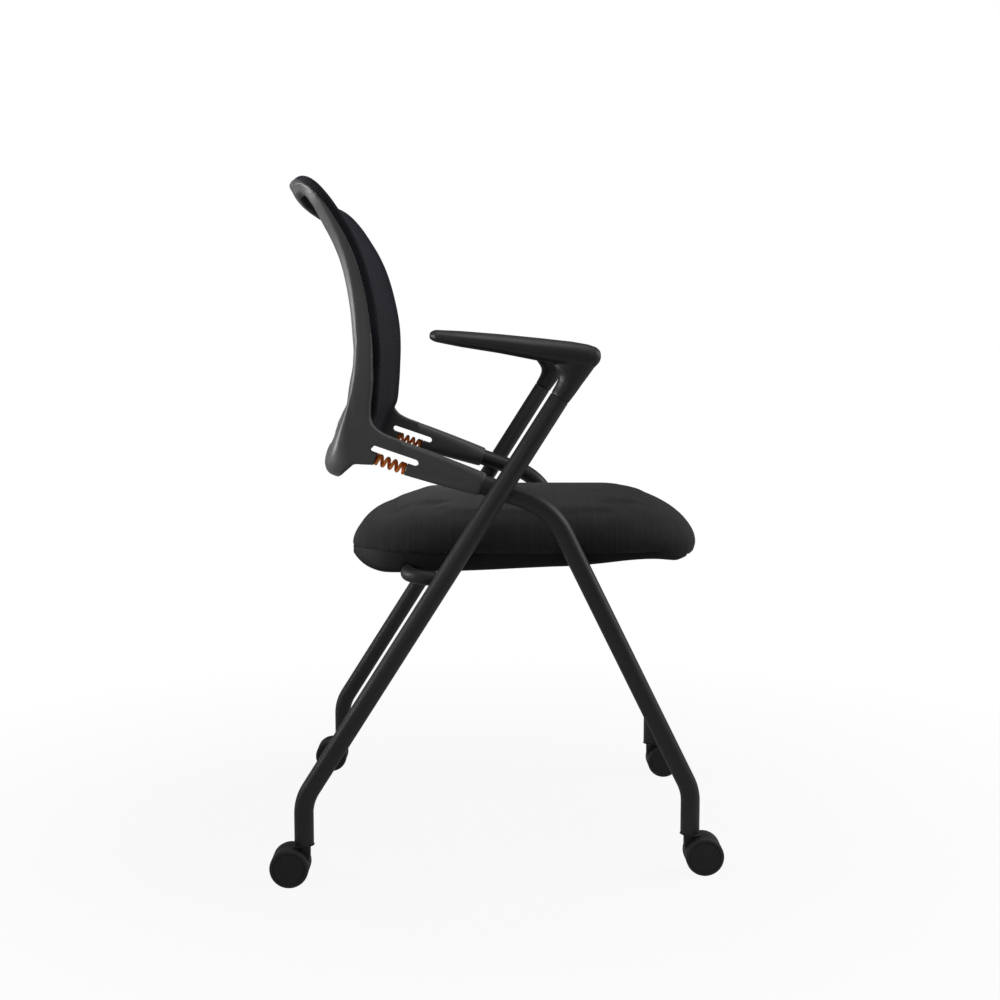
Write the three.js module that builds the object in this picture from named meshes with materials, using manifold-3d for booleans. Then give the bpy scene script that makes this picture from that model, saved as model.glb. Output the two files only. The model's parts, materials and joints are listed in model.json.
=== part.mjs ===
// Nesting chair: a bent steel tube frame on four twin-wheel casters, armrests plugged into the rear legs,
// a padded seat that flips up about its rear crossbar so that chairs nest, and a mesh back whose two arms
// bend at a thin strip against an exposed coil spring.
// Millimetres. +X is the sitter's front, +Y the sitter's left, +Z up, origin on the floor under the middle.

import * as THREE from 'three';
import { mergeVertices } from 'three/addons/utils/BufferGeometryUtils.js';
import Module from 'manifold-3d';

const wasm = await Module();
wasm.setup();

// Fits and cuts
const fit_gap = 0.3;
const running_gap = 0.4;
const cut_overrun = 4;
const merge_distance = 0.0001;

// Leg tubes
const tube_diameter = 25;
const tube_wall = 1.5;
const tube_sides = 12;
const tube_end_height = 52.7;
const foot_bend_radius = 60;
const foot_bend_steps = 3;
const stem_reach = 251.2;

// Widths, worked outward from the seat: the front legs and back arms, then the rear legs outside them
const seat_half_width = 228;
const seat_side_gap = 6.5;
const leg_pass_gap = 2;
const front_leg_toe_in = 18;
const rear_leg_toe_in = 5.7;
const arm_half = seat_half_width + seat_side_gap + tube_diameter / 2;
const rear_top_half = arm_half + tube_diameter + leg_pass_gap;
const front_track_half = arm_half - front_leg_toe_in;
const rear_track_half = rear_top_half - rear_leg_toe_in;

// Rear legs, which rise forward to carry the armrests
const rear_bend_height = 110;
const rear_top_forward = 75;
const rear_top_height = 625;

// Front legs, which turn back over a knee to carry the back
const front_bend_height = 109.6;
const knee_forward = 66.3;
const knee_height = 484.3;
const knee_radius = 90;
const knee_steps = 6;
const arm_rise_degrees = 19.1;
const back_tube_length = 160;

// Crossbars: the rear one is the seat's pivot, the front one is its rest
const bar_diameter = 19;
const bar_wall = 1.5;
const bar_sides = 12;
const pivot_back = 118;
const pivot_height = 398;
const rear_bar_front_back = 64;
const rear_bar_front_drop = 7;
const rear_bar_front_height = pivot_height - rear_bar_front_drop;
const rear_bar_bend_radius = 24;
const rear_bar_bend_steps = 4;
const front_bar_over_pivot = 9;
const front_bar_height = pivot_height + front_bar_over_pivot;

// Casters
const caster_trail = 18;
const wheel_radius = 25;
const wheel_sides = 16;
const wheel_outer_half = 20.6;
const wheel_edge_round = 1.6;
const wheel_rim_depth = 4;
const wheel_web_recess = 2.6;
const wheel_hub_radius = 8;
const axle_radius = 3;
const axle_cover = 4.2;
const axle_sides = 10;
const hood_thickness = 12;
const hood_radius = 24;
const hood_foot_clear = 6;
const hood_foot_steps = 4;
const hood_crown_steps = 10;
const neck_sides = 12;
const neck_radius = 7.75;
const neck_shoulder_height = 48.4;
const neck_throat_height = 36;
const collar_height = 50.9;
const stem_radius = 4;
const stem_bottom_height = 34;
const stem_top_height = 92;
const stem_tip_round = 1;
const stem_groove_depth = 0.8;
const stem_groove_width = 2;
const stem_groove_drop = 6;
const socket_top_height = 93;
const socket_flange_thickness = 1.2;
const socket_plug_clearance = 0.3;

// Armrests: sections of the pad as places along it, then of the stem up from the tube's end
const pad_back = 86.9;
const pad_length = 212.9;
const pad_half_width = 24;
const pad_sides = 12;
const pad_squareness = 3;
const pad_over_tube = 84.9;
const pad_top_height = rear_top_height + pad_over_tube;
const pad_drop = 54.9;
const pad_length_shares = [0, 0.01, 0.038, 0.178, 0.411, 0.645, 0.832, 0.926, 0.973, 1];
const pad_top_shares = [0.13, 0.07, 0, 0.02, 0.095, 0.184, 0.268, 0.333, 0.393, 0.6];
const pad_bottom_shares = [0.16, 0.235, 0.277, 0.383, 0.527, 0.709, 0.9, 1, 0.96, 0.8];
const pad_width_shares = [0.25, 0.6, 0.83, 1, 1, 0.96, 0.84, 0.72, 0.58, 0.34];
const arm_stem_proud = 0.6;
const arm_stem_height = 50;
const arm_stem_height_shares = [0, 0.36, 0.64, 0.84, 1];
const arm_stem_rear_flare = 21;
const arm_stem_front_flare = 5.4;
const arm_stem_side_flare = 4;
const arm_stem_rear_shares = [0, 0, 0.1, 0.42, 1];
const arm_stem_front_shares = [0, 0.1, 0.35, 0.7, 1];
const arm_spigot_length = 55;

// Back arms: a socket on the tube, a bending strip over a slot, and a spring under the slot
const socket_start = 92.9;
const socket_length = 98;
const socket_front_radius = 15.2;
const arm_top = 19;
const arm_bottom = 21;
const arm_half_thickness = 13.5;
const arm_sides = 16;
const arm_squareness = 4.5;
const socket_length_shares = [0, 0.18, 0.46, 0.67, 0.86, 1];
const socket_growth_shares = [0, 0.24, 0.55, 0.75, 0.9, 1];
const slot_top = 3.1;
const slot_bottom = 6.5;
const slot_start = 85;
const slot_length = 65;
const slot_round_steps = 6;
const spring_bay_length = 41;
const spring_depth = 13.3;
const spring_outer_diameter = 15.5;
const spring_wire_diameter = 2.7;
const spring_turns = 4;
const spring_steps_per_turn = 8;
const spring_wire_sides = 5;

// Back: the side curve of its front face, from the foot to the top, and its ring
const back_foot_height = 528;
const back_height = 380;
const back_front_back = 150.5;
const back_sweep = 112;
const back_rise_shares = [
  0, 0.084, 0.163, 0.203, 0.268, 0.347, 0.426, 0.534, 0.639, 0.725, 0.794, 0.853, 0.914, 0.966, 0.992, 1,
];
const back_sweep_shares = [
  0.353, 0.25, 0.116, 0.05, 0.022, 0.004, 0, 0.027, 0.096, 0.182, 0.283, 0.4, 0.54, 0.7, 0.853, 1,
];
const back_curve_steps = 120;
const back_arm_proud = 0.5;
const back_taper = 9;
const back_half_foot = arm_half + arm_half_thickness - back_arm_proud;
const back_half_top = back_half_foot - back_taper;
const back_flare_start_share = 0.2;
const back_flare_end_share = 0.6;
const back_bow = 12;
const back_corner_radius_top = 62;
const back_corner_radius_foot = 40;
const back_corner_steps = 5;
const back_side_steps = 12;
const back_rail_steps = 6;
const ring_width = 26;
const ring_depth_foot = 37;
const ring_depth_top = 20;
const ring_depth_rise_shares = [0, 0.2, 0.45, 0.65, 0.8, 0.9, 1];
const ring_depth_shares = [1, 1.1, 0.85, 0.6, 0.4, 0.15, 0];
const ring_edge_round = 2.5;
const ring_rear_chamfer = 9;

// Back mesh, knitted over the ring's front and wrapped round its edge
const mesh_wrap = 9;
const mesh_thickness = 2.4;
const mesh_edge_inset = 1;
const mesh_rim_width = 12;
const mesh_arm_gap = 1;
const mesh_foot_half = arm_half - arm_half_thickness - mesh_arm_gap;
const mesh_flare_start_share = 0.33;
const mesh_flare_end_share = 0.46;
const mesh_wrap_spare = 3;
const mesh_recess = 5;
const mesh_rows = 15;
const mesh_columns = 5;

// Foot of the back, below and behind the arm: shares of its reach behind the arm and of its drop
const foot_reach = 69.2;
const foot_rise = 90;
const foot_rear_shares = [
  [0.09, 1], [0.44, 1], [0.529, 0.736], [0.569, 0.6], [0.647, 0.442], [0.764, 0.286], [0.868, 0.149],
  [0.96, -0.009], [1, -0.169], [0.964, -0.284], [0.812, -0.373], [0.659, -0.379], [0.568, -0.314],
  [0.422, -0.212], [0.299, -0.216],
];
const foot_front_shares = [[0.026, 0.266], [0.114, 0.344], [0.153, 0.509], [0.123, 0.774]];

// Seat
const seat_middle_forward = 36;
const seat_half_length = 242;
const seat_squareness = 4.2;
const seat_stations = 40;
const shell_rim_over_pivot = 25.5;
const shell_rim_height = pivot_height + shell_rim_over_pivot;
const seat_seam_under_rim = 5;
const seat_seam_height = shell_rim_height - seat_seam_under_rim;
const seat_front_drip = 12.5;
const seat_drip_start = 205;
const seat_crown_over_rim = 65.3;
const seat_crown_height = shell_rim_height + seat_crown_over_rim;
const seat_rear_dip = 6;
const seat_side_droop = 20;

// Cushion section: insets from its plan at shares of its rise, at its rear, its front and its sides
const cushion_rear_inset = 112;
const cushion_front_inset = 129;
const cushion_side_inset = 46;
const cushion_rise_shares = [0, 0.1, 0.3, 0.5, 0.7, 0.8, 0.88, 0.94, 1];
const cushion_rear_shares = [0, 0.007, 0.062, 0.174, 0.351, 0.639, 0.814, 0.908, 1];
const cushion_front_shares = [0.063, 0.04, 0.023, 0.078, 0.233, 0.359, 0.485, 0.652, 1];
const cushion_side_shares = [0.065, 0.028, 0, 0.043, 0.139, 0.217, 0.343, 0.5, 1];
const cushion_top_rings = 3;
const board_inset = 14;
const board_thickness = 10;
const board_over_rim = 0.5;
const board_height = shell_rim_height + board_over_rim;
const shell_inset = 9;
const shell_wall = 3;
const shell_length_shares = [
  0.047, 0.071, 0.11, 0.178, 0.256, 0.383, 0.558, 0.636, 0.675, 0.714, 0.782, 0.879, 0.928, 0.942,
];
const shell_depth = 25.1;
const shell_depth_shares = [0.33, 0.6, 0.92, 1, 1, 0.88, 0.68, 0.66, 0.7, 0.52, 0.42, 0.46, 0.6, 0.45];
const shell_corner = 16;
const shell_corner_share = 0.3;
const tunnel_wall = 3;
const rest_pad_thickness = 2.2;
const rest_pad_half = 110;
const rest_pad_length = 30;
const rest_pad_degrees = 120;
const rest_pad_steps = 8;
const clamp_half = 110;
const clamp_length = 26;
const clamp_thickness = 3.5;
const clamp_flange_reach = 28;
const clamp_screw_reach = 21;
const clamp_arc_steps = 8;
const screw_shank_radius = 2;
const screw_head_radius = 4.5;
const screw_head_height = 2.5;
const screw_length = 14;
const screw_sides = 10;

// Directions
const up = new THREE.Vector3(0, 0, 1);
const sides = [['left', 1], ['right', -1]];
const full_turn = 2 * Math.PI;

const tube_radius = tube_diameter / 2;
const bar_radius = bar_diameter / 2;
const wire_radius = spring_wire_diameter / 2;

// A polygon's corner radius that puts the middles of its flats at the given radius
function cornerRadius(radius, count) {
  return radius / Math.cos(Math.PI / count);
}

// Shared vertices merged and empty triangles dropped
function welded(geometry) {
  const bare = geometry.clone();
  bare.deleteAttribute('normal');
  bare.deleteAttribute('uv');
  const merged = mergeVertices(bare, merge_distance);
  const kept = [];
  const index = merged.index.array;
  for (let i = 0; i < index.length; i += 3) {
    const [a, b, c] = [index[i], index[i + 1], index[i + 2]];
    if (a !== b && b !== c && c !== a) kept.push(a, b, c);
  }
  merged.setIndex(kept);
  return merged;
}

// The same surface with its faces pointing out
function facingOut(geometry) {
  const place = geometry.attributes.position;
  const index = geometry.index.array;
  const [a, b, c] = [new THREE.Vector3(), new THREE.Vector3(), new THREE.Vector3()];
  let volume = 0;
  for (let i = 0; i < index.length; i += 3) {
    a.fromBufferAttribute(place, index[i]);
    b.fromBufferAttribute(place, index[i + 1]);
    c.fromBufferAttribute(place, index[i + 2]);
    volume += a.dot(b.cross(c));
  }
  if (volume < 0) geometry.setIndex(Array.from(index).reverse());
  return geometry;
}

function solidOf(geometry) {
  const closed = facingOut(welded(geometry));
  return new wasm.Manifold(new wasm.Mesh({
    numProp: 3,
    vertProperties: new Float32Array(closed.attributes.position.array),
    triVerts: new Uint32Array(closed.index.array),
  }));
}

function geometryOf(solid) {
  const mesh = solid.getMesh();
  const geometry = new THREE.BufferGeometry();
  geometry.setAttribute('position', new THREE.BufferAttribute(new Float32Array(mesh.vertProperties), 3));
  geometry.setIndex(Array.from(mesh.triVerts));
  return geometry;
}

function indexed(places, triangles) {
  const geometry = new THREE.BufferGeometry();
  const numbers = places.flatMap((p) => [p.x, p.y, p.z]);
  geometry.setAttribute('position', new THREE.Float32BufferAttribute(numbers, 3));
  geometry.setIndex(triangles);
  return facingOut(geometry);
}

// A skin through rings of equal count, closed by a fan at each end or joined last ring to first
function loft(rings, joined = false) {
  const count = rings[0].length;
  const places = rings.flat();
  const triangles = [];
  const spans = joined ? rings.length : rings.length - 1;
  for (let r = 0; r < spans; r += 1) {
    const near = r * count;
    const far = ((r + 1) % rings.length) * count;
    for (let k = 0; k < count; k += 1) {
      const next = (k + 1) % count;
      triangles.push(near + k, near + next, far + next, near + k, far + next, far + k);
    }
  }
  if (joined) return indexed(places, triangles);
  [[0, true], [rings.length - 1, false]].forEach(([ring, first]) => {
    const middle = places.length;
    const centre = rings[ring].reduce((sum, p) => sum.add(p), new THREE.Vector3()).divideScalar(count);
    places.push(centre);
    for (let k = 0; k < count; k += 1) {
      const here = ring * count + k;
      const next = ring * count + ((k + 1) % count);
      triangles.push(...(first ? [middle, next, here] : [middle, here, next]));
    }
  });
  return indexed(places, triangles);
}

// A closed outline in the XZ plane, extruded along Y between two places
function plate(points, start, end, holes = []) {
  const shape = new THREE.Shape(points.map(([x, z]) => new THREE.Vector2(x, z)));
  holes.forEach((hole) => shape.holes.push(new THREE.Path(hole.map(([x, z]) => new THREE.Vector2(x, z)))));
  const low = Math.min(start, end);
  const geometry = new THREE.ExtrudeGeometry(shape, { depth: Math.abs(end - start), bevelEnabled: false });
  return geometry.rotateX(Math.PI / 2).translate(0, Math.abs(end - start) + low, 0);
}

// A profile of [radius, height] turned about Z, with flats at its nominal radii
function turned(profile, count) {
  const points = profile.map(([radius, height]) => new THREE.Vector2(cornerRadius(radius, count), height));
  const lathe = new THREE.LatheGeometry(points, count, Math.PI / count, full_turn);
  return lathe.rotateX(Math.PI / 2);
}

function rod(radius, low, high, count) {
  return turned([[0, low], [radius, low], [radius, high], [0, high]], count);
}

// A rod along Y through a place in the XZ plane
function crossRod(radius, forward, height, half_length, count) {
  return rod(radius, -half_length, half_length, count).rotateX(Math.PI / 2).translate(forward, 0, height);
}

function box(low, high) {
  const size = high.map((value, axis) => value - low[axis]);
  const geometry = new THREE.BoxGeometry(...size);
  return geometry.translate(...low.map((value, axis) => value + size[axis] / 2));
}

// A curve of straight runs joined by round bends, walked station by station
class RunAndBendCurve extends THREE.Curve {
  constructor(corners, radii, bend_steps) {
    super();
    this.places = [corners[0]];
    this.headings = [corners[1].clone().sub(corners[0]).normalize()];
    for (let i = 1; i < corners.length - 1; i += 1) {
      const into = corners[i].clone().sub(corners[i - 1]).normalize();
      const out = corners[i + 1].clone().sub(corners[i]).normalize();
      const turn = into.angleTo(out);
      const inward = out.clone().addScaledVector(into, -into.dot(out)).normalize();
      const start = corners[i].clone().addScaledVector(into, -radii[i - 1] * Math.tan(turn / 2));
      for (let step = 0; step <= bend_steps[i - 1]; step += 1) {
        const angle = (turn * step) / bend_steps[i - 1];
        const place = start.clone().addScaledVector(into, radii[i - 1] * Math.sin(angle));
        this.places.push(place.addScaledVector(inward, radii[i - 1] * (1 - Math.cos(angle))));
        const heading = into.clone().multiplyScalar(Math.cos(angle));
        this.headings.push(heading.addScaledVector(inward, Math.sin(angle)));
      }
    }
    this.places.push(corners.at(-1));
    this.headings.push(corners.at(-1).clone().sub(corners.at(-2)).normalize());
    this.steps = this.places.length - 1;
  }

  between(list, t, target) {
    const at = Math.min(Math.max(t, 0), 1) * this.steps;
    const low = Math.min(Math.floor(at), this.steps - 1);
    return target.lerpVectors(list[low], list[low + 1], at - low);
  }

  getPoint(t, target = new THREE.Vector3()) {
    return this.between(this.places, t, target);
  }

  getTangent(t, target = new THREE.Vector3()) {
    return this.between(this.headings, t, target).normalize();
  }

  getUtoTmapping(u) {
    return u;
  }
}

function circlePoints(radius, count) {
  const corner = cornerRadius(radius, count);
  return Array.from({ length: count }, (_, i) => {
    const angle = (full_turn * (i + 0.5)) / count;
    return new THREE.Vector2(corner * Math.cos(angle), corner * Math.sin(angle));
  });
}

function pipe(curve, outer_radius, wall, count) {
  const section = new THREE.Shape(circlePoints(outer_radius, count));
  section.holes.push(new THREE.Path(circlePoints(outer_radius - wall, count)));
  return new THREE.ExtrudeGeometry(section, { steps: curve.steps, extrudePath: curve, bevelEnabled: false });
}

// A superellipse in the plane of two unit directions
function softRing(centre, across, half_across, along, half_along, count, squareness) {
  return Array.from({ length: count }, (_, i) => {
    const angle = (full_turn * (i + 0.5)) / count;
    const a = Math.sign(Math.cos(angle)) * Math.abs(Math.cos(angle)) ** (2 / squareness);
    const b = Math.sign(Math.sin(angle)) * Math.abs(Math.sin(angle)) ** (2 / squareness);
    return centre.clone().addScaledVector(across, half_across * a).addScaledVector(along, half_along * b);
  });
}

// The value at x of a table of places and values, straight between its entries
function tableAt(places, values, x) {
  const next = places.findIndex((place) => place >= x);
  if (next < 0) return values.at(-1);
  if (next === 0) return values[0];
  const part = (x - places[next - 1]) / (places[next] - places[next - 1]);
  return values[next - 1] + part * (values[next] - values[next - 1]);
}

// Leg tubes
function legHalf(foot_half, top_half, foot_height, top_height, height) {
  return foot_half + ((top_half - foot_half) * (height - foot_height)) / (top_height - foot_height);
}

function rearLegCurve(side) {
  const corners = [
    new THREE.Vector3(-stem_reach, side * rear_track_half, tube_end_height),
    new THREE.Vector3(-stem_reach, side * rear_track_half, rear_bend_height),
    new THREE.Vector3(rear_top_forward, side * rear_top_half, rear_top_height),
  ];
  return new RunAndBendCurve(corners, [foot_bend_radius], [foot_bend_steps]);
}

const arm_rise = THREE.MathUtils.degToRad(arm_rise_degrees);

// A place beside the back tube's axis: its distance behind the socket's mouth and its height over the axis
function armPoint(behind, over) {
  const along = socket_start + behind;
  return [
    knee_forward - along * Math.cos(arm_rise) + over * Math.sin(arm_rise),
    knee_height + along * Math.sin(arm_rise) + over * Math.cos(arm_rise),
  ];
}

function armVector(behind, over, half) {
  const [forward, height] = armPoint(behind, over);
  return new THREE.Vector3(forward, half, height);
}

function frontLegCurve(side) {
  const corners = [
    new THREE.Vector3(stem_reach, side * front_track_half, tube_end_height),
    new THREE.Vector3(stem_reach, side * front_track_half, front_bend_height),
    new THREE.Vector3(knee_forward, side * arm_half, knee_height),
    armVector(back_tube_length - socket_start, 0, side * arm_half),
  ];
  return new RunAndBendCurve(corners, [foot_bend_radius, knee_radius], [foot_bend_steps, knee_steps]);
}

function rearLegHalfAt(height) {
  return legHalf(rear_track_half, rear_top_half, rear_bend_height, rear_top_height, height);
}

function frontLegHalfAt(height) {
  return legHalf(front_track_half, arm_half, front_bend_height, knee_height, height);
}

function rearCrossbar() {
  const arm_out = rearLegHalfAt(rear_bar_front_height) - tube_radius - bar_radius - fit_gap;
  const half = [
    new THREE.Vector3(-rear_bar_front_back, arm_out, rear_bar_front_height),
    new THREE.Vector3(-pivot_back, arm_out, pivot_height),
  ];
  const mirrored = half.map((p) => new THREE.Vector3(p.x, -p.y, p.z)).reverse();
  const curve = new RunAndBendCurve(
    [...half, ...mirrored],
    [rear_bar_bend_radius, rear_bar_bend_radius],
    [rear_bar_bend_steps, rear_bar_bend_steps],
  );
  return pipe(curve, bar_radius, bar_wall, bar_sides);
}

const front_leg_lean = (stem_reach - knee_forward) / (knee_height - front_bend_height);
const front_bar_forward = stem_reach - front_leg_lean * (front_bar_height - front_bend_height);

function frontCrossbar() {
  const half = frontLegHalfAt(front_bar_height - bar_radius) - cornerRadius(tube_radius, tube_sides) - fit_gap;
  const ends = [-half, half].map((y) => new THREE.Vector3(front_bar_forward, y, front_bar_height));
  return pipe(new RunAndBendCurve(ends, [], []), bar_radius, bar_wall, bar_sides);
}

// Casters, each modelled with its stem on Z and its wheels trailing towards +X
function casterWheel(side) {
  const hub_face = hood_thickness / 2 + fit_gap;
  const bore_radius = axle_radius + fit_gap;
  const bore_end = wheel_outer_half - axle_cover;
  const profile = [
    [0, bore_end], [bore_radius, bore_end], [bore_radius, hub_face], [wheel_hub_radius, hub_face],
    [wheel_hub_radius, hub_face + wheel_web_recess],
    [wheel_radius - wheel_rim_depth, hub_face + wheel_web_recess],
    [wheel_radius - wheel_rim_depth, hub_face],
    [wheel_radius, hub_face + wheel_edge_round],
    [wheel_radius, wheel_outer_half - wheel_edge_round],
    [wheel_radius - wheel_edge_round, wheel_outer_half - fit_gap],
    [0, wheel_outer_half],
  ];
  const lathe = turned(profile, wheel_sides).rotateX(side > 0 ? -Math.PI / 2 : Math.PI / 2);
  return lathe.translate(caster_trail, 0, wheel_radius);
}

function casterHood() {
  const arc = (from, to, count) => Array.from({ length: count + 1 }, (_, i) => {
    const angle = from + ((to - from) * i) / count;
    return [caster_trail + hood_radius * Math.cos(angle), wheel_radius + hood_radius * Math.sin(angle)];
  });
  const foot_angle = Math.asin((wheel_radius - hood_foot_clear) / hood_radius);
  const neck_angle = Math.acos((neck_radius - caster_trail) / hood_radius);
  const outline = [
    ...arc(Math.PI, Math.PI + foot_angle, hood_foot_steps),
    ...arc(-foot_angle, neck_angle, hood_crown_steps),
    [neck_radius, neck_shoulder_height],
    [-neck_radius, neck_shoulder_height],
    [-neck_radius, neck_throat_height],
  ];
  const body = solidOf(plate(outline, -hood_thickness / 2, hood_thickness / 2));
  const collar = solidOf(rod(neck_radius, neck_shoulder_height - fit_gap, collar_height, neck_sides));
  const bore_top = collar_height + cut_overrun;
  const stem_bore = rod(stem_radius + fit_gap, stem_bottom_height - fit_gap, bore_top, axle_sides);
  const axle_bore = crossRod(axle_radius + fit_gap, caster_trail, wheel_radius, hood_thickness, axle_sides);
  return geometryOf(body.add(collar).subtract(solidOf(stem_bore)).subtract(solidOf(axle_bore)));
}

function casterStem() {
  const groove = stem_top_height - stem_groove_drop;
  const neck = stem_radius - stem_groove_depth;
  return turned([
    [0, stem_bottom_height], [stem_radius, stem_bottom_height], [stem_radius, groove], [neck, groove],
    [neck, groove + stem_groove_width], [stem_radius, groove + stem_groove_width],
    [stem_radius, stem_top_height - stem_tip_round], [stem_radius - stem_tip_round, stem_top_height],
    [0, stem_top_height],
  ], axle_sides);
}

function casterSocket() {
  const bore = cornerRadius(stem_radius, axle_sides) + fit_gap;
  const plug = tube_radius - tube_wall - socket_plug_clearance;
  const flange_bottom = tube_end_height - fit_gap - socket_flange_thickness;
  const profile = [
    [bore, flange_bottom], [tube_radius, flange_bottom], [tube_radius, tube_end_height - fit_gap],
    [plug, tube_end_height - fit_gap], [plug, socket_top_height], [bore, socket_top_height],
    [bore, flange_bottom],
  ];
  return turned(profile, tube_sides);
}

function casterAxle() {
  const half = wheel_outer_half - axle_cover - fit_gap;
  return crossRod(axle_radius, caster_trail, wheel_radius, half, axle_sides);
}

// Armrest: a tapering pad and the stem that carries it, with a spigot inside the leg tube
function armrest(side) {
  const across = new THREE.Vector3(0, 1, 0);
  const pad_rings = pad_length_shares.map((share, i) => {
    const top = pad_top_height - pad_drop * pad_top_shares[i];
    const bottom = pad_top_height - pad_drop * pad_bottom_shares[i];
    const centre = new THREE.Vector3(pad_length * share - pad_back, side * rear_top_half, (top + bottom) / 2);
    const half_width = pad_half_width * pad_width_shares[i];
    return softRing(centre, across, half_width, up, (top - bottom) / 2, pad_sides, pad_squareness);
  });
  const curve = rearLegCurve(side);
  const heading = curve.headings.at(-1);
  const across_stem = new THREE.Vector3().crossVectors(across, heading).normalize();
  const across_leg = new THREE.Vector3().crossVectors(heading, across_stem).normalize();
  const tube_end = curve.places.at(-1).clone().addScaledVector(heading, fit_gap);
  const stem_half = tube_radius + arm_stem_proud;
  const stem_rings = arm_stem_height_shares.map((share, i) => {
    const rear = stem_half + arm_stem_rear_flare * arm_stem_rear_shares[i];
    const front = stem_half + arm_stem_front_flare * arm_stem_front_shares[i];
    const centre = tube_end.clone().addScaledVector(heading, arm_stem_height * share);
    centre.addScaledVector(across_stem, (front - rear) / 2);
    const half_side = stem_half + arm_stem_side_flare * arm_stem_front_shares[i];
    return softRing(centre, across_stem, (front + rear) / 2, across_leg, half_side, tube_sides, 2);
  });
  const spigot_radius = tube_radius - tube_wall - socket_plug_clearance;
  const spigot_rings = [-arm_spigot_length, fit_gap].map((along) => {
    const centre = tube_end.clone().addScaledVector(heading, along);
    return softRing(centre, across_stem, spigot_radius, across_leg, spigot_radius, axle_sides, 2);
  });
  return geometryOf(solidOf(loft(pad_rings)).add(solidOf(loft(stem_rings))).add(solidOf(loft(spigot_rings))));
}

// Back arms
const arm_back_heading = new THREE.Vector3(-Math.cos(arm_rise), 0, Math.sin(arm_rise));
const arm_over_heading = new THREE.Vector3(Math.sin(arm_rise), 0, Math.cos(arm_rise));
const spring_bay_end = socket_length + spring_bay_length;

function armRing(behind, top, bottom, half_thickness, squareness, side) {
  const centre = armVector(behind, (top - bottom) / 2, side * arm_half);
  const across = new THREE.Vector3(0, 1, 0);
  return softRing(centre, across, half_thickness, arm_over_heading, (top + bottom) / 2, arm_sides, squareness);
}

// The slot under the bending strip, as an outline with round ends
function slotOutline(front, back) {
  const middle = (slot_top - slot_bottom) / 2;
  const radius = (slot_top + slot_bottom) / 2;
  const end = (at, from) => Array.from({ length: slot_round_steps + 1 }, (_, i) => {
    const angle = from + (Math.PI * i) / slot_round_steps;
    return armPoint(at + radius * Math.cos(angle), middle + radius * Math.sin(angle));
  });
  return [...end(back - radius, -Math.PI / 2), ...end(front + radius, Math.PI / 2)];
}

const slot_end = slot_start + slot_length;

function armSlot(side) {
  const reach = arm_half_thickness + cut_overrun;
  return plate(slotOutline(slot_start, slot_end), side * arm_half - reach, side * arm_half + reach);
}

function armSocket(side) {
  const rings = socket_length_shares.map((share, i) => {
    const growth = socket_growth_shares[i];
    const top = socket_front_radius + (arm_top - socket_front_radius) * growth;
    const bottom = socket_front_radius + (arm_bottom - socket_front_radius) * growth;
    const half = socket_front_radius + (arm_half_thickness - socket_front_radius) * growth;
    return armRing(socket_length * share, top, bottom, half, 2 + (arm_squareness - 2) * growth, side);
  });
  const bore_end = back_tube_length - socket_start + fit_gap;
  const bore_radius = cornerRadius(tube_radius + fit_gap, tube_sides);
  const bore_rings = [-cut_overrun, bore_end].map((behind) => {
    return armRing(behind, bore_radius, bore_radius, bore_radius, 2, side);
  });
  return geometryOf(solidOf(loft(rings)).subtract(solidOf(loft(bore_rings))).subtract(solidOf(armSlot(side))));
}

// The thin strip over the slot that bends as the back reclines
function armFlexure(side) {
  const rings = [socket_length + fit_gap, spring_bay_end - fit_gap].map((behind) => {
    return armRing(behind, arm_top, arm_bottom, arm_half_thickness, arm_squareness, side);
  });
  const reach = arm_half_thickness + cut_overrun;
  const below = [
    armPoint(slot_start, slot_top), armPoint(slot_start, -arm_bottom - cut_overrun),
    armPoint(slot_end, -arm_bottom - cut_overrun), armPoint(slot_end, slot_top),
  ];
  const cut = plate(below, side * arm_half - reach, side * arm_half + reach);
  return geometryOf(solidOf(loft(rings)).subtract(solidOf(cut)));
}

// One unbroken helical wire between the socket's end and the back's foot
function backSpring(side) {
  const coil_radius = spring_outer_diameter / 2 - wire_radius;
  const length = spring_bay_length - 2 * (wire_radius + fit_gap);
  const steps = spring_turns * spring_steps_per_turn;
  const across = new THREE.Vector3(0, side, 0);
  const start = armVector(socket_length + fit_gap + wire_radius, -spring_depth, side * arm_half);
  const middles = [];
  const rings = [];
  for (let step = 0; step <= steps; step += 1) {
    const angle = (full_turn * spring_turns * step) / steps;
    const outward = arm_over_heading.clone().multiplyScalar(Math.cos(angle));
    outward.addScaledVector(across, Math.sin(angle));
    const middle = start.clone().addScaledVector(arm_back_heading, (length * step) / steps);
    middle.addScaledVector(outward, coil_radius);
    middles.push(middle);
    rings.push(softRing(middle, outward, wire_radius, arm_back_heading, wire_radius, spring_wire_sides, 2));
  }
  return { geometry: loft(rings), middles };
}

function leastCoilGap(middles) {
  let least = Infinity;
  for (let i = 0; i < middles.length; i += 1) {
    for (let j = i + spring_steps_per_turn / 2; j < middles.length; j += 1) {
      least = Math.min(least, middles[i].distanceTo(middles[j]) - spring_wire_diameter);
    }
  }
  return least;
}

// The back's side curve, walked by distance from its foot
const back_curve = new THREE.SplineCurve(back_rise_shares.map((rise, i) => {
  const backward = back_front_back + back_sweep * back_sweep_shares[i];
  return new THREE.Vector2(-backward, back_foot_height + back_height * rise);
}));
back_curve.arcLengthDivisions = back_curve_steps;
const back_length = back_curve.getLength();

function smoothShare(from, to, value) {
  return THREE.MathUtils.smoothstep(value, from, to);
}

function backHalfAt(share) {
  return back_half_foot - back_taper * smoothShare(back_flare_start_share, back_flare_end_share, share);
}

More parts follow.
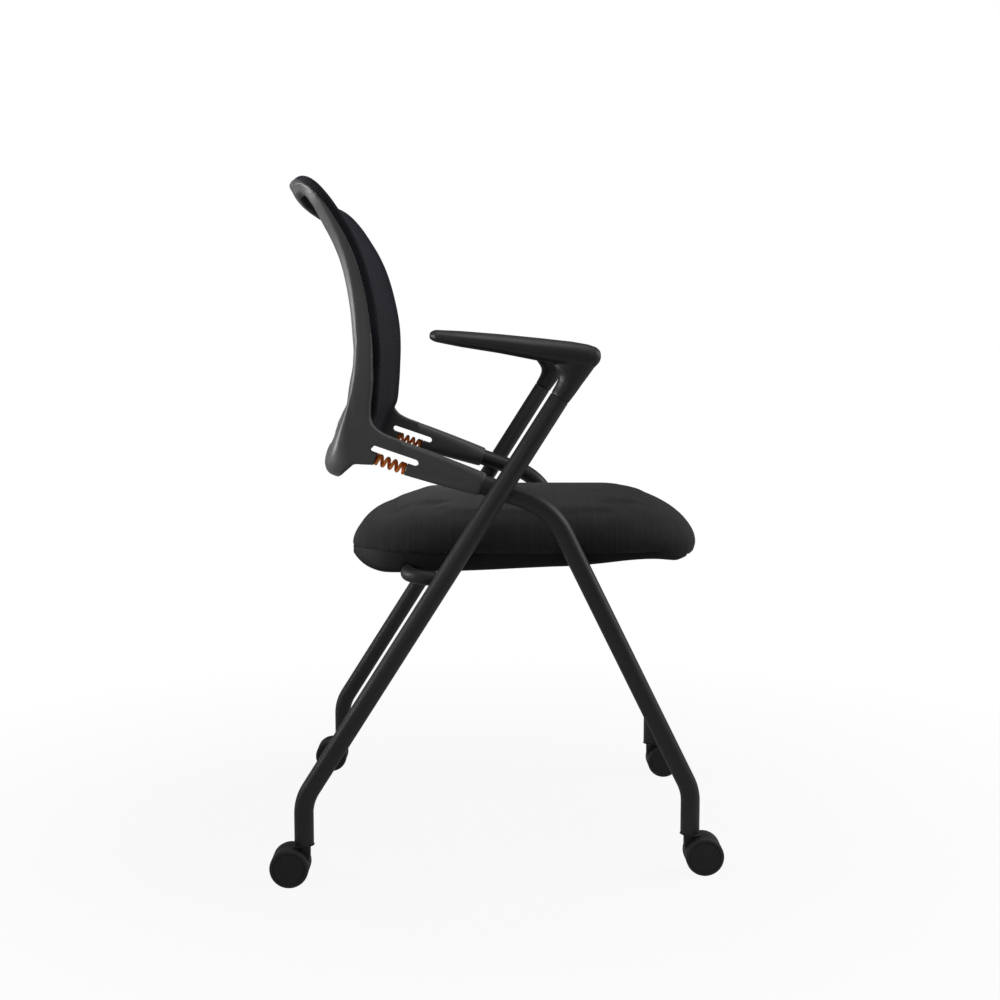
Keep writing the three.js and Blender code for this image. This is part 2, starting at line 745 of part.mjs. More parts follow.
// A place on the back: distance up its curve, distance across, and depth behind the front face
function backPlace(distance, across, depth) {
  const share = Math.min(Math.max(distance / back_length, 0), 1);
  const place = back_curve.getPointAt(share);
  const heading = back_curve.getTangentAt(share);
  place.addScaledVector(heading, distance - share * back_length);
  const bow = back_bow * share ** 2 * (1 - Math.min(Math.abs(across) / back_half_top, 1) ** 2);
  return new THREE.Vector3(place.x - heading.y * depth - bow, across, place.y + heading.x * depth);
}

// The ring's outline as [distance up, distance across, inward up, inward across], once round
function ringStations() {
  const stations = [];
  const corner = (up_at, half_at, radius, from, side_sign) => {
    for (let i = 0; i <= back_corner_steps; i += 1) {
      const angle = from + (Math.PI / 2) * (i / back_corner_steps);
      const [rise, out] = [Math.sin(angle), Math.cos(angle)];
      stations.push([up_at + radius * rise, side_sign * half_at + radius * out, -rise, -out]);
    }
  };
  const top_up = back_length - back_corner_radius_top;
  const top_half = back_half_top - back_corner_radius_top;
  const foot_half = back_half_foot - back_corner_radius_foot;
  corner(back_corner_radius_foot, foot_half, back_corner_radius_foot, -Math.PI / 2, 1);
  for (let i = 1; i < back_side_steps; i += 1) {
    const distance = back_corner_radius_foot + ((top_up - back_corner_radius_foot) * i) / back_side_steps;
    stations.push([distance, backHalfAt(distance / back_length), 0, -1]);
  }
  corner(top_up, top_half, back_corner_radius_top, 0, 1);
  for (let i = 1; i < back_rail_steps; i += 1) {
    stations.push([back_length, top_half * (1 - (2 * i) / back_rail_steps), -1, 0]);
  }
  corner(top_up, top_half, back_corner_radius_top, Math.PI / 2, -1);
  for (let i = 1; i < back_side_steps; i += 1) {
    const distance = top_up - ((top_up - back_corner_radius_foot) * i) / back_side_steps;
    stations.push([distance, -backHalfAt(distance / back_length), 0, 1]);
  }
  corner(back_corner_radius_foot, foot_half, back_corner_radius_foot, Math.PI, -1);
  for (let i = 1; i < back_rail_steps; i += 1) {
    stations.push([0, foot_half * ((2 * i) / back_rail_steps - 1), 1, 0]);
  }
  return stations;
}

function backRing(front, spread) {
  const rings = ringStations().map(([distance, across, in_up, in_across]) => {
    const share = tableAt(ring_depth_rise_shares, ring_depth_shares, distance / back_length);
    const depth = ring_depth_top + (ring_depth_foot - ring_depth_top) * share;
    const chamfer = Math.min(ring_rear_chamfer, (depth - front) / 2);
    const section = [
      [-spread, front + ring_edge_round], [ring_edge_round - spread, front],
      [ring_width + spread - ring_edge_round, front], [ring_width + spread, front + ring_edge_round],
      [ring_width + spread, depth - chamfer],
      [ring_width - chamfer / 2, depth - ring_edge_round], [ring_width / 2, depth],
      [chamfer, depth - ring_edge_round / 2], [-spread, depth - chamfer],
    ];
    return section.map(([inward, behind]) => {
      return backPlace(distance + in_up * inward, across + in_across * inward, behind);
    });
  });
  return loft(rings, true);
}

// One side's foot: the arm's end, the fillet up to the ring, and the toe below and behind
function backFoot(side) {
  const [arm_end_forward, arm_end_height] = armPoint(spring_bay_end, 0);
  const beyond = ([reach, rise]) => [arm_end_forward - foot_reach * reach, arm_end_height + foot_rise * rise];
  const slot = slotOutline(slot_start, slot_end);
  const slot_half_end = slot.slice(0, slot_round_steps + 1);
  const outline = [
    armPoint(spring_bay_end, slot_top),
    ...slot_half_end.slice().reverse(),
    armPoint(spring_bay_end, -slot_bottom),
    armPoint(spring_bay_end, -arm_bottom),
    ...foot_rear_shares.slice().reverse().map(beyond),
    ...foot_front_shares.slice().reverse().map(beyond),
    armPoint(spring_bay_end, arm_top),
  ];
  return plate(outline, side * (arm_half - arm_half_thickness), side * (arm_half + arm_half_thickness));
}

function backFrame() {
  const ring = solidOf(backRing(mesh_wrap + fit_gap, 0));
  return geometryOf(ring.add(solidOf(backFoot(1))).add(solidOf(backFoot(-1))));
}

// The knitted panel: thin over the opening, thick where it wraps the ring's front edge
function meshHalfAt(distance) {
  const share = distance / back_length;
  const half = backHalfAt(share) - mesh_edge_inset;
  const flare = smoothShare(mesh_flare_start_share, mesh_flare_end_share, share);
  const beside_arms = mesh_foot_half + (half - mesh_foot_half) * flare;
  const to_top = back_length - distance;
  const near_top = to_top < back_corner_radius_top;
  const radius = near_top ? back_corner_radius_top : back_corner_radius_foot;
  const left = near_top ? to_top : distance;
  const cut_back = left < radius ? radius - Math.sqrt(Math.max(radius ** 2 - (radius - left) ** 2, 0)) : 0;
  return beside_arms - cut_back;
}

function backMesh() {
  const low = mesh_edge_inset;
  const high = back_length - mesh_edge_inset;
  const rows = [];
  for (let row = 0; row <= mesh_rows; row += 1) {
    const share = (1 - Math.cos((Math.PI * row) / mesh_rows)) / 2;
    rows.push(low + (high - low) * share);
  }
  const inner_shares = Array.from({ length: mesh_columns + 1 }, (_, i) => (2 * i) / mesh_columns - 1);
  const skins = [[], []];
  rows.forEach((distance) => {
    const half = meshHalfAt(distance);
    const inner = half - mesh_rim_width;
    const across = [-half, ...inner_shares.map((share) => inner * share), half];
    across.forEach((y, column) => {
      const outermost = column === 0 || column === across.length - 1;
      const edge = outermost ? 0 : Math.min(distance - low, high - distance);
      const open = smoothShare(0, 1, Math.min(edge / mesh_rim_width, 1));
      const at_rim = outermost || Math.abs(y) >= inner ? 0 : 1;
      const recess = mesh_recess * open * at_rim;
      const thickness = mesh_thickness + (mesh_wrap + mesh_wrap_spare - mesh_thickness) * (1 - open * at_rim);
      skins[0].push(backPlace(distance, y, recess));
      skins[1].push(backPlace(distance, y, recess + thickness));
    });
  });
  const panel = solidOf(sheet(skins[0], skins[1], rows.length, inner_shares.length + 2));
  return geometryOf(panel.subtract(solidOf(backRing(mesh_wrap, fit_gap))));
}

// A closed sheet between two grids of equal rows and columns
function sheet(front, back, row_count, column_count) {
  const places = [...front, ...back];
  const behind = front.length;
  const triangles = [];
  const at = (row, column) => row * column_count + column;
  const quad = (a, b, c, d) => triangles.push(a, b, c, a, c, d);
  for (let r = 0; r < row_count - 1; r += 1) {
    for (let c = 0; c < column_count - 1; c += 1) {
      quad(at(r, c), at(r, c + 1), at(r + 1, c + 1), at(r + 1, c));
      quad(behind + at(r, c), behind + at(r + 1, c), behind + at(r + 1, c + 1), behind + at(r, c + 1));
    }
  }
  const border = [];
  for (let c = 0; c < column_count - 1; c += 1) border.push(at(0, c));
  for (let r = 0; r < row_count - 1; r += 1) border.push(at(r, column_count - 1));
  for (let c = column_count - 1; c > 0; c -= 1) border.push(at(row_count - 1, c));
  for (let r = row_count - 1; r > 0; r -= 1) border.push(at(r, 0));
  border.forEach((here, i) => {
    const next = border[(i + 1) % border.length];
    quad(here, behind + here, behind + next, next);
  });
  return indexed(places, triangles);
}

// Seat plan: a superellipse drawn in by an inset
function seatPlan(inset, count) {
  return Array.from({ length: count }, (_, i) => {
    const angle = (full_turn * (i + 0.5)) / count;
    const x = Math.sign(Math.cos(angle)) * Math.abs(Math.cos(angle)) ** (2 / seat_squareness);
    const y = Math.sign(Math.sin(angle)) * Math.abs(Math.sin(angle)) ** (2 / seat_squareness);
    return [seat_middle_forward + (seat_half_length - inset) * x, (seat_half_width - inset) * y];
  });
}

function seamHeightAt(forward) {
  const front = seat_middle_forward + seat_half_length;
  return seat_seam_height - seat_front_drip * smoothShare(seat_drip_start, front, forward);
}

function crownHeightAt(forward, across) {
  const front = smoothShare(seat_middle_forward - seat_half_length, seat_middle_forward, forward);
  const droop = seat_side_droop * (Math.abs(across) / seat_half_width) ** 2;
  return seat_crown_height - seat_rear_dip * (1 - front) - droop;
}

function boardSolid(clearance) {
  const outline = seatPlan(board_inset - clearance, seat_stations);
  const shape = new THREE.Shape(outline.map(([x, y]) => new THREE.Vector2(x, y)));
  const depth = board_thickness + 2 * clearance;
  const geometry = new THREE.ExtrudeGeometry(shape, { depth, bevelEnabled: false });
  return geometry.translate(0, 0, board_height - clearance);
}

// Places round the seat's plan, drawn in by one inset at the sides and another at each end
function cushionPlan(rear_inset, front_inset, side_inset) {
  return Array.from({ length: seat_stations }, (_, i) => {
    const across = Math.cos((full_turn * (i + 0.5)) / seat_stations);
    const end_inset = across < 0 ? rear_inset : front_inset;
    return seatPlan(side_inset + (end_inset - side_inset) * across ** 2, seat_stations)[i];
  });
}

function seatCushion() {
  const ringAt = (rise, rear_inset, front_inset, side_inset) => {
    return cushionPlan(rear_inset, front_inset, side_inset).map(([x, y]) => {
      const seam = seamHeightAt(x);
      return new THREE.Vector3(x, y, seam + (crownHeightAt(x, y) - seam) * rise);
    });
  };
  const rings = cushion_rise_shares.map((rise, i) => ringAt(
    rise,
    cushion_rear_inset * cushion_rear_shares[i],
    cushion_front_inset * cushion_front_shares[i],
    cushion_side_inset * cushion_side_shares[i],
  ));
  const last = rings.at(-1);
  for (let step = 1; step <= cushion_top_rings; step += 1) {
    const share = 1 - step / (cushion_top_rings + 1);
    rings.push(last.map((p) => {
      const x = seat_middle_forward + (p.x - seat_middle_forward) * share;
      const y = p.y * share;
      return new THREE.Vector3(x, y, crownHeightAt(x, y));
    }));
  }
  const pocket = boardSolid(fit_gap);
  const edge = shellStations().map(({ forward, half, end }) => [forward + end * fit_gap, half + fit_gap]);
  const opening = [...edge, ...edge.map(([x, y]) => [x, -y]).reverse()];
  const shape = new THREE.Shape(opening.map(([x, y]) => new THREE.Vector2(x, y)));
  const below = new THREE.ExtrudeGeometry(shape, { depth: shell_depth, bevelEnabled: false });
  below.translate(0, 0, shell_rim_height + fit_gap - shell_depth);
  return geometryOf(solidOf(loft(rings)).subtract(solidOf(pocket)).subtract(solidOf(below)));
}

// Places along the tray: how far forward, its half width there, and which end it is, if it is one
function shellStations() {
  const last = shell_length_shares.length - 1;
  return shell_length_shares.map((share, i) => {
    const reach = 2 * share - 1;
    const edge = seat_half_width * (1 - Math.abs(reach) ** seat_squareness) ** (1 / seat_squareness);
    const end = i === 0 ? -1 : Number(i === last);
    return { forward: seat_middle_forward + seat_half_length * reach, half: edge - shell_inset, end };
  });
}

// The moulded tray under the board, lofted from back to front
function shellLoft(wall, above) {
  const rings = shellStations().map(({ forward, half: edge, end }, i) => {
    const half = edge - wall;
    const low = shell_rim_height - shell_depth * shell_depth_shares[i] + wall;
    const top = shell_rim_height + above;
    const corner = Math.min(shell_corner, (top - low) / 2);
    const blend = corner * shell_corner_share;
    const section = [
      [half, top], [half, low + corner], [half - blend, low + blend], [half - corner, low],
      [-half + corner, low], [-half + blend, low + blend], [-half, low + corner], [-half, top],
    ];
    return section.map(([y, z]) => new THREE.Vector3(forward - end * wall, y, z));
  });
  return loft(rings);
}

function seatShell() {
  const pivot_top = pivot_height + bar_radius + running_gap + tunnel_wall;
  const notch_radius = bar_radius + 2 * fit_gap + rest_pad_thickness;
  const notch_top = Math.min(front_bar_height + notch_radius + tunnel_wall, shell_rim_height);
  const floor = shell_rim_height - shell_depth;
  const inside = seat_half_width - shell_inset - shell_wall / 2;
  const block = (forward, half_length, from, to, low, high) => {
    return solidOf(box([forward - half_length, from, low], [forward + half_length, to, high]));
  };
  const tunnel_half = bar_radius + running_gap + tunnel_wall;
  const notch_half = notch_radius + tunnel_wall;
  const outer = solidOf(shellLoft(0, 0));
  let inner = solidOf(shellLoft(shell_wall, cut_overrun));
  inner = inner.subtract(block(-pivot_back, tunnel_half, -inside, inside, floor, pivot_top));
  inner = inner.subtract(block(front_bar_forward, notch_half, -inside, inside, floor, notch_top));
  for (const [, side] of sides) {
    const near = side * clamp_half - clamp_length / 2;
    const far = side * clamp_half + clamp_length / 2;
    inner = inner.subtract(block(-pivot_back, clamp_flange_reach, near, far, floor, pivot_top));
  }
  let shell = outer.subtract(inner);
  const saddle_radius = bar_radius + running_gap;
  const groove = (forward, height, radius) => {
    const round = solidOf(crossRod(radius, forward, height, seat_half_width, bar_sides));
    const below = floor - cut_overrun - radius;
    const open = block(forward, radius, -seat_half_width, seat_half_width, below, height);
    return round.add(open);
  };
  shell = shell.subtract(groove(-pivot_back, pivot_height, saddle_radius));
  shell = shell.subtract(groove(front_bar_forward, front_bar_height, notch_radius));
  const hole_top = screwBottom() + screw_head_height + screw_length + fit_gap;
  for (const [forward, across] of screwPlaces()) {
    const hole = rod(screw_shank_radius + fit_gap, floor - cut_overrun, hole_top, screw_sides);
    shell = shell.subtract(solidOf(hole.translate(forward, across, 0)));
  }
  return geometryOf(shell);
}

// Two straps hold the seat to its pivot bar, each with a screw before and behind the bar
const clamp_top = shell_rim_height - shell_depth - fit_gap;

function screwPlaces() {
  return sides.flatMap(([, side]) => {
    return [-1, 1].map((end) => [-pivot_back + end * clamp_screw_reach, side * clamp_half]);
  });
}

function screwBottom() {
  return clamp_top - clamp_thickness - fit_gap - screw_head_height;
}

function pivotClamp(side) {
  const inner = cornerRadius(cornerRadius(bar_radius, bar_sides) + running_gap, 2 * clamp_arc_steps);
  const outer = inner + clamp_thickness;
  const arc = (radius, from, to) => Array.from({ length: clamp_arc_steps + 1 }, (_, i) => {
    const angle = from + ((to - from) * i) / clamp_arc_steps;
    return [-pivot_back + radius * Math.cos(angle), pivot_height + radius * Math.sin(angle)];
  });
  const flange_low = clamp_top - clamp_thickness;
  const start = Math.asin((clamp_top - pivot_height) / inner);
  const outer_start = Math.asin((flange_low - pivot_height) / outer);
  const outline = [
    [-pivot_back - clamp_flange_reach, clamp_top],
    ...arc(inner, Math.PI - start, full_turn + start),
    [-pivot_back + clamp_flange_reach, clamp_top],
    [-pivot_back + clamp_flange_reach, flange_low],
    ...arc(outer, full_turn + outer_start, Math.PI - outer_start),
    [-pivot_back - clamp_flange_reach, flange_low],
  ];
  const middle = side * clamp_half;
  let strap = solidOf(plate(outline, middle - clamp_length / 2, middle + clamp_length / 2));
  for (const [forward, across] of screwPlaces()) {
    const [low, high] = [flange_low - cut_overrun, clamp_top + cut_overrun];
    const hole = rod(screw_shank_radius + fit_gap, low, high, screw_sides);
    strap = strap.subtract(solidOf(hole.translate(forward, across, 0)));
  }
  return geometryOf(strap);
}

function clampScrew(forward, across) {
  const low = screwBottom();
  const head_top = low + screw_head_height;
  const profile = [
    [0, low], [screw_head_radius, low + screw_head_height / 2], [screw_head_radius, head_top],
    [screw_shank_radius, head_top], [screw_shank_radius, head_top + screw_length], [0, head_top + screw_length],
  ];
  return turned(profile, screw_sides).translate(forward, across, 0);
}

// Rubber half-rings that the seat rests on the front crossbar with
function restPad(side) {
  const inner = cornerRadius(bar_radius, bar_sides) + fit_gap;
  const outer = inner + rest_pad_thickness;
  const spread = THREE.MathUtils.degToRad(rest_pad_degrees);
  const full_circle_steps = (rest_pad_steps * full_turn) / spread;
  const arc = (radius, from, to) => Array.from({ length: rest_pad_steps + 1 }, (_, i) => {
    const angle = Math.PI / 2 + spread * (from + ((to - from) * i) / rest_pad_steps);
    const corner = cornerRadius(radius, full_circle_steps);
    return [front_bar_forward + corner * Math.cos(angle), front_bar_height + corner * Math.sin(angle)];
  });
  const outline = [...arc(inner, -1 / 2, 1 / 2), ...arc(outer - fit_gap / 2, 1 / 2, -1 / 2)];
  const middle = side * rest_pad_half;
  return plate(outline, middle - rest_pad_length / 2, middle + rest_pad_length / 2);
}

// Finishes
function finish(color, roughness, metalness = 0) {
  return new THREE.MeshStandardMaterial({ color, roughness, metalness });
}

const powder_coat = finish(0x232425, 0.45, 0.3);
const back_plastic = finish(0x3a3b3c, 0.5);
const arm_plastic = finish(0x242526, 0.5);
const shell_plastic = finish(0x121314, 0.55);
const caster_plastic = finish(0x202124, 0.4);
const knit = finish(0x20222a, 0.9);
const fabric = finish(0x2c2c2d, 0.95);
const plywood = finish(0xb08d5f, 0.7);
const rubber = finish(0x191919, 0.8);
const spring_steel = finish(0xc0501a, 0.35, 0.2);
const zinc = finish(0xa8abad, 0.35, 0.9);

const chair = new THREE.Group();

function place(group, name, geometry, material) {
  const mesh = new THREE.Mesh(geometry, material);
  mesh.name = name;
  group.add(mesh);
  return mesh;
}

for (const [hand, side] of sides) {
  const rear_leg = pipe(rearLegCurve(side), tube_radius, tube_wall, tube_sides);
  const front_leg = pipe(frontLegCurve(side), tube_radius, tube_wall, tube_sides);
  place(chair, `rear_leg_tube_${hand}`, rear_leg, powder_coat);
  place(chair, `front_leg_tube_${hand}`, front_leg, powder_coat);
  place(chair, `armrest_${hand}`, armrest(side), arm_plastic);
  place(chair, `back_arm_socket_${hand}`, armSocket(side), back_plastic);
  place(chair, `back_arm_strip_${hand}`, armFlexure(side), back_plastic);
  const spring = backSpring(side);
  place(chair, `back_spring_${hand}`, spring.geometry, spring_steel);
  console.log(`back_spring_${hand}: least gap between turns ${leastCoilGap(spring.middles).toFixed(2)} mm`);
  place(chair, `seat_pivot_clamp_${hand}`, pivotClamp(side), shell_plastic);
  place(chair, `seat_rest_pad_${hand}`, restPad(side), rubber);
}
screwPlaces().forEach(([forward, across], i) => {
  const name = `clamp_screw_${across > 0 ? 'left' : 'right'}_${i % 2 ? 'front' : 'rear'}`;
  place(chair, name, clampScrew(forward, across), zinc);
});
place(chair, 'rear_crossbar', rearCrossbar(), powder_coat);
place(chair, 'front_crossbar', frontCrossbar(), powder_coat);
place(chair, 'back_frame', backFrame(), back_plastic);
place(chair, 'back_mesh', backMesh(), knit);
place(chair, 'seat_cushion', seatCushion(), fabric);
place(chair, 'seat_board', boardSolid(0), plywood);
place(chair, 'seat_shell', seatShell(), shell_plastic);

const caster_ends = [
  ['front', stem_reach, front_track_half, 0],
  ['rear', -stem_reach, rear_track_half, Math.PI],
];
for (const [end, reach, track, turn] of caster_ends) {
  for (const [hand, side] of sides) {
    const caster = new THREE.Group();
    caster.position.set(reach, side * track, 0);
    caster.rotation.z = turn;
    chair.add(caster);
    const corner = `${end}_${hand}`;
    place(caster, `caster_socket_${corner}`, casterSocket(), caster_plastic);
    place(caster, `caster_stem_${corner}`, casterStem(), zinc);
    place(caster, `caster_hood_${corner}`, casterHood(), caster_plastic);
    place(caster, `caster_axle_${corner}`, casterAxle(), zinc);
    place(caster, `caster_wheel_${corner}_a`, casterWheel(1), caster_plastic);
    place(caster, `caster_wheel_${corner}_b`, casterWheel(-1), caster_plastic);
  }
}

export default chair;
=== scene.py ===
"""Looks of a nesting chair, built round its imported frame. Metres, +X the front, +Y the sitter's left."""

import json
from math import acos, asin, copysign, cos, hypot, pi, radians, sin, sqrt, tan

import bmesh
import bpy
import numpy as np
from mathutils import Matrix, Vector


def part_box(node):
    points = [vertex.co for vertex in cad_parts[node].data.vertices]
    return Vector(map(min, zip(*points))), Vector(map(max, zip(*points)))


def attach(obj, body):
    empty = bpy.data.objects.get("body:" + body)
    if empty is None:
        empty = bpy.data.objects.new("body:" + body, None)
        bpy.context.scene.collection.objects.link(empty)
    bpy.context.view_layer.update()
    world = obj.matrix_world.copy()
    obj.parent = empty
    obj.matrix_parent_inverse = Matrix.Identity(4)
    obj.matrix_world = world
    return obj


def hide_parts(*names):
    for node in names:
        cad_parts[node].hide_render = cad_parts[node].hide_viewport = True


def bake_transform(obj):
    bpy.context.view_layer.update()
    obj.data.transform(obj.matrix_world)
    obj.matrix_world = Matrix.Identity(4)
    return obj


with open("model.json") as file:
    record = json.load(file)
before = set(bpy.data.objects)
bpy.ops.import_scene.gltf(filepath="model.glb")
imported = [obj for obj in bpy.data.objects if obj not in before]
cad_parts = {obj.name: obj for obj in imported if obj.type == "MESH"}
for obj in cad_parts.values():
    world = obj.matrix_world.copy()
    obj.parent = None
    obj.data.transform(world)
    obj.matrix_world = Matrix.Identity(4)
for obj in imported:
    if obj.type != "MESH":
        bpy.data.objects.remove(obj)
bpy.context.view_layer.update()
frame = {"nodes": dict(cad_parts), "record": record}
scene = bpy.context.scene
HANDS = (("left", 1), ("right", -1))
CORNERS = tuple((end, hand) for end in ("front", "rear") for hand, _ in HANDS)


# Node helpers
MIRRORED = 0.12


class Nodes:
    """The node tree of a material or world, with short ways to add and join nodes."""

    def __init__(self, owner):
        self.owner = bpy.data.materials.new(owner) if isinstance(owner, str) else owner
        self.owner.use_nodes = True
        self.tree = self.owner.node_tree
        self.shader = self.tree.nodes.get("Principled BSDF") or self.tree.nodes["Background"]

    def feed(self, socket, value):
        """Joins another node's output to a socket, or sets the socket to a plain value."""
        if hasattr(value, "is_linked"):
            self.tree.links.new(value, socket)
        elif value is not None:
            socket.default_value = value

    def add(self, kind, **settings):
        """A node with its settings and, by their names, its inputs."""
        node = self.tree.nodes.new("ShaderNode" + kind)
        for key, value in settings.items():
            if hasattr(node, key):
                setattr(node, key, value)
            else:
                self.feed(node.inputs[key.replace("_", " ")], value)
        return node

    def texture(self, kind, stretch=(1, 1, 1), **settings):
        """A texture over the object's own places, stretched along its axes."""
        places = self.add("Mapping", Vector=self.add("TexCoord").outputs["Object"], Scale=stretch).outputs[0]
        return self.add("Tex" + kind, Vector=places, **settings).outputs

    def noise(self, scale, detail=2, roughness=0.5, stretch=(1, 1, 1)):
        return self.texture("Noise", stretch, Scale=scale, Detail=detail, Roughness=roughness)["Fac"]

    def cells(self, scale, stretch=(1, 1, 1)):
        return self.texture("Voronoi", stretch, Scale=scale)["Distance"]

    def math(self, operation, *values):
        node = self.add("Math", operation=operation)
        for i, value in enumerate(values):
            self.feed(node.inputs[i], value)
        return node.outputs[0]

    def times(self, first, second):
        return self.math("MULTIPLY", first, second)

    def spread(self, value, low, high, to_low=0, to_high=1):
        limits = {"From_Min": low, "From_Max": high, "To_Min": to_low, "To_Max": to_high}
        return self.add("MapRange", Value=value, **limits).outputs["Result"]

    def mix(self, factor, first, second):
        node = self.add("Mix", data_type="RGBA", Factor=factor)
        for socket, value in zip(node.inputs[6:8], (first, second)):
            self.feed(socket, (*value, 1) if isinstance(value, tuple) else value)
        return node.outputs[2]

    def bump(self, height, distance, strength=1, before=None):
        return self.add("Bump", Distance=distance, Strength=strength, Height=height, Normal=before).outputs[0]

    def edges(self, low=0.5, high=0.56):
        """1 on outer edges, 0 elsewhere."""
        return self.spread(self.add("NewGeometry").outputs["Pointiness"], low, high)

    def seen(self):
        """1 where the camera or a clear surface sees this, and less where a gloss mirrors it."""
        rays = self.add("LightPath").outputs
        clear = self.math("MAXIMUM", self.times(rays["Is Glossy Ray"], MIRRORED), rays["Is Transmission Ray"])
        return self.math("MAXIMUM", rays["Is Camera Ray"], clear)

    def surface(self, color, roughness, normal=None, **others):
        for key, value in {"Base Color": color, "Roughness": roughness, "Normal": normal, **others}.items():
            self.feed(self.shader.inputs[key.replace("_", " ")], value)
        return self.owner


def tone(value, blue=1.0):
    """A near-neutral colour of the given sRGB level, 0 to 255."""
    share = value / 255
    linear = share / 12.92 if share <= 0.04045 else ((share + 0.055) / 1.055) ** 2.4  # the sRGB curve
    return (linear, linear, linear * blue)


def grained_plastic(name, dark, light, grain=1400, depth=0.00006, rough=0.42, worn=1.25, gloss=0.5):
    """Moulded plastic with a fine spark-eroded grain, slow tone drift and slightly lighter edges."""
    n = Nodes(name)
    drift = n.noise(14, 3)
    fine = n.noise(grain, 2, 0.6)
    cells = n.cells(grain * 0.8)
    base = n.mix(n.spread(drift, 0.3, 0.7), tone(dark), tone(light))
    speck = n.mix(n.spread(fine, 0.35, 0.75, 0, 0.35), base, tone(light * 1.15))
    edged = n.mix(n.times(n.edges(), 0.4), speck, tone(light * worn))
    mottle = n.math("ADD", n.times(fine, 0.5), n.times(drift, 0.5))
    roughness = n.spread(mottle, 0.3, 0.7, rough - 0.05, rough + 0.09)
    normal = n.bump(cells, depth, 0.12, n.bump(fine, depth, 0.08))
    return n.surface(edged, roughness, normal, Specular_IOR_Level=gloss)


def powder_coat(name, dark, light):
    """Satin powder coat: orange peel, fine specks, and rubbed outer edges."""
    n = Nodes(name)
    peel = n.noise(420, 3, 0.55)
    fine = n.noise(2600, 1)
    drift = n.noise(9, 4)
    base = n.mix(n.spread(drift, 0.35, 0.65), tone(dark), tone(light))
    speck = n.mix(n.spread(fine, 0.6, 0.8, 0, 0.5), base, tone(light * 1.5))
    edged = n.mix(n.times(n.edges(0.52, 0.6), 0.3), speck, tone(60))
    mottle = n.math("ADD", n.times(peel, 0.6), n.times(drift, 0.4))
    roughness = n.spread(mottle, 0.3, 0.7, 0.45, 0.56)
    normal = n.bump(fine, 0.00002, 0.04, n.bump(peel, 0.00012, 0.1))
    return n.surface(edged, roughness, normal, Coat_Weight=0.06, Coat_Roughness=0.4)


def steel(name):
    """Zinc-plated steel with turning lines and a slight yellow-blue bloom."""
    n = Nodes(name)
    lines = n.noise(1, 3, stretch=(60, 60, 2400))
    bloom = n.noise(60, 3)
    color = n.mix(n.spread(bloom, 0.35, 0.65), (0.52, 0.53, 0.56), (0.62, 0.6, 0.53))
    roughness = n.spread(lines, 0.3, 0.7, 0.26, 0.42)
    return n.surface(color, roughness, n.bump(lines, 0.00003, 0.5), Metallic=1.0)


def rubber(name):
    n = Nodes(name)
    fine = n.noise(1800, 3)
    dust = n.noise(90, 4)
    color = n.mix(n.spread(dust, 0.5, 0.8, 0, 0.4), tone(26), tone(52))
    return n.surface(color, n.spread(fine, 0.3, 0.7, 0.68, 0.85), n.bump(fine, 0.00008, 0.5))


def plywood(name):
    n = Nodes(name)
    plies = n.texture("Wave", bands_direction="Z", Scale=160, Distortion=0.6)["Fac"]
    grain = n.noise(1, 6, 0.65, stretch=(8, 160, 8))
    base = n.mix(n.spread(grain, 0.3, 0.7), (0.42, 0.28, 0.15), (0.62, 0.45, 0.27))
    color = n.mix(n.times(plies, 0.5), base, (0.3, 0.18, 0.09))
    return n.surface(color, n.spread(grain, 0.2, 0.8, 0.55, 0.75), n.bump(grain, 0.0001, 0.4))


def spring_coat(name):
    """Orange powder coat with darker wear marks."""
    n = Nodes(name)
    peel = n.noise(900, 3)
    patch = n.noise(160, 3)
    base = n.mix(n.spread(patch, 0.35, 0.7), (1.0, 0.2, 0.015), (1.0, 0.32, 0.04))
    color = n.mix(n.spread(peel, 0.62, 0.8, 0, 0.5), base, (0.3, 0.06, 0.01))
    roughness = n.spread(peel, 0.3, 0.7, 0.3, 0.45)
    return n.surface(color, roughness, n.bump(peel, 0.00006, 0.4), Coat_Weight=0.25, Coat_Roughness=0.2)


WAVE_LENGTH = 0.314  # of a wave texture of scale 1
WALE_PITCH, CORD_PITCH, STITCH_PITCH = 0.0018, 0.0031, 0.0019
UV_UNIT = 0.6


def seat_knit(name):
    """Fine warp knit: wales across the seat with painted shade in the grooves between them, small stitches
    along them, soft mottling and a fibre sheen.
    """
    n = Nodes(name)
    scale = WAVE_LENGTH / WALE_PITCH
    ribs = n.texture("Wave", Scale=scale, Distortion=0.35, Detail=2, Detail_Scale=0.6)["Fac"]
    stitches = n.cells(950, (1, 0.7, 0.7))
    mottle = n.noise(38, 4)
    streaks = n.noise(1, 2, stretch=(700, 6, 6))
    base = n.mix(n.spread(mottle, 0.3, 0.7), tone(47, 1.02), tone(53, 1.03))
    # Painted shade: where the rib wave is low (the grooves between wales), the colour is mixed towards a dark
    # tone.
    lines = n.mix(n.times(n.spread(ribs, 0, 1, 1, 0), 0.2), base, tone(24))
    color = n.mix(n.spread(streaks, 0.42, 0.62, 0.25, 0), lines, tone(20))
    height = n.math("ADD", n.times(ribs, 0.7), n.times(stitches, 0.3))
    roughness = n.spread(stitches, 0, 0.8, 0.78, 0.95)
    sheen = {"Sheen_Weight": 0.06, "Sheen_Roughness": 0.4, "Specular_IOR_Level": 0.12}
    return n.surface(color, roughness, n.bump(height, 0.0002, 0.6), **sheen)


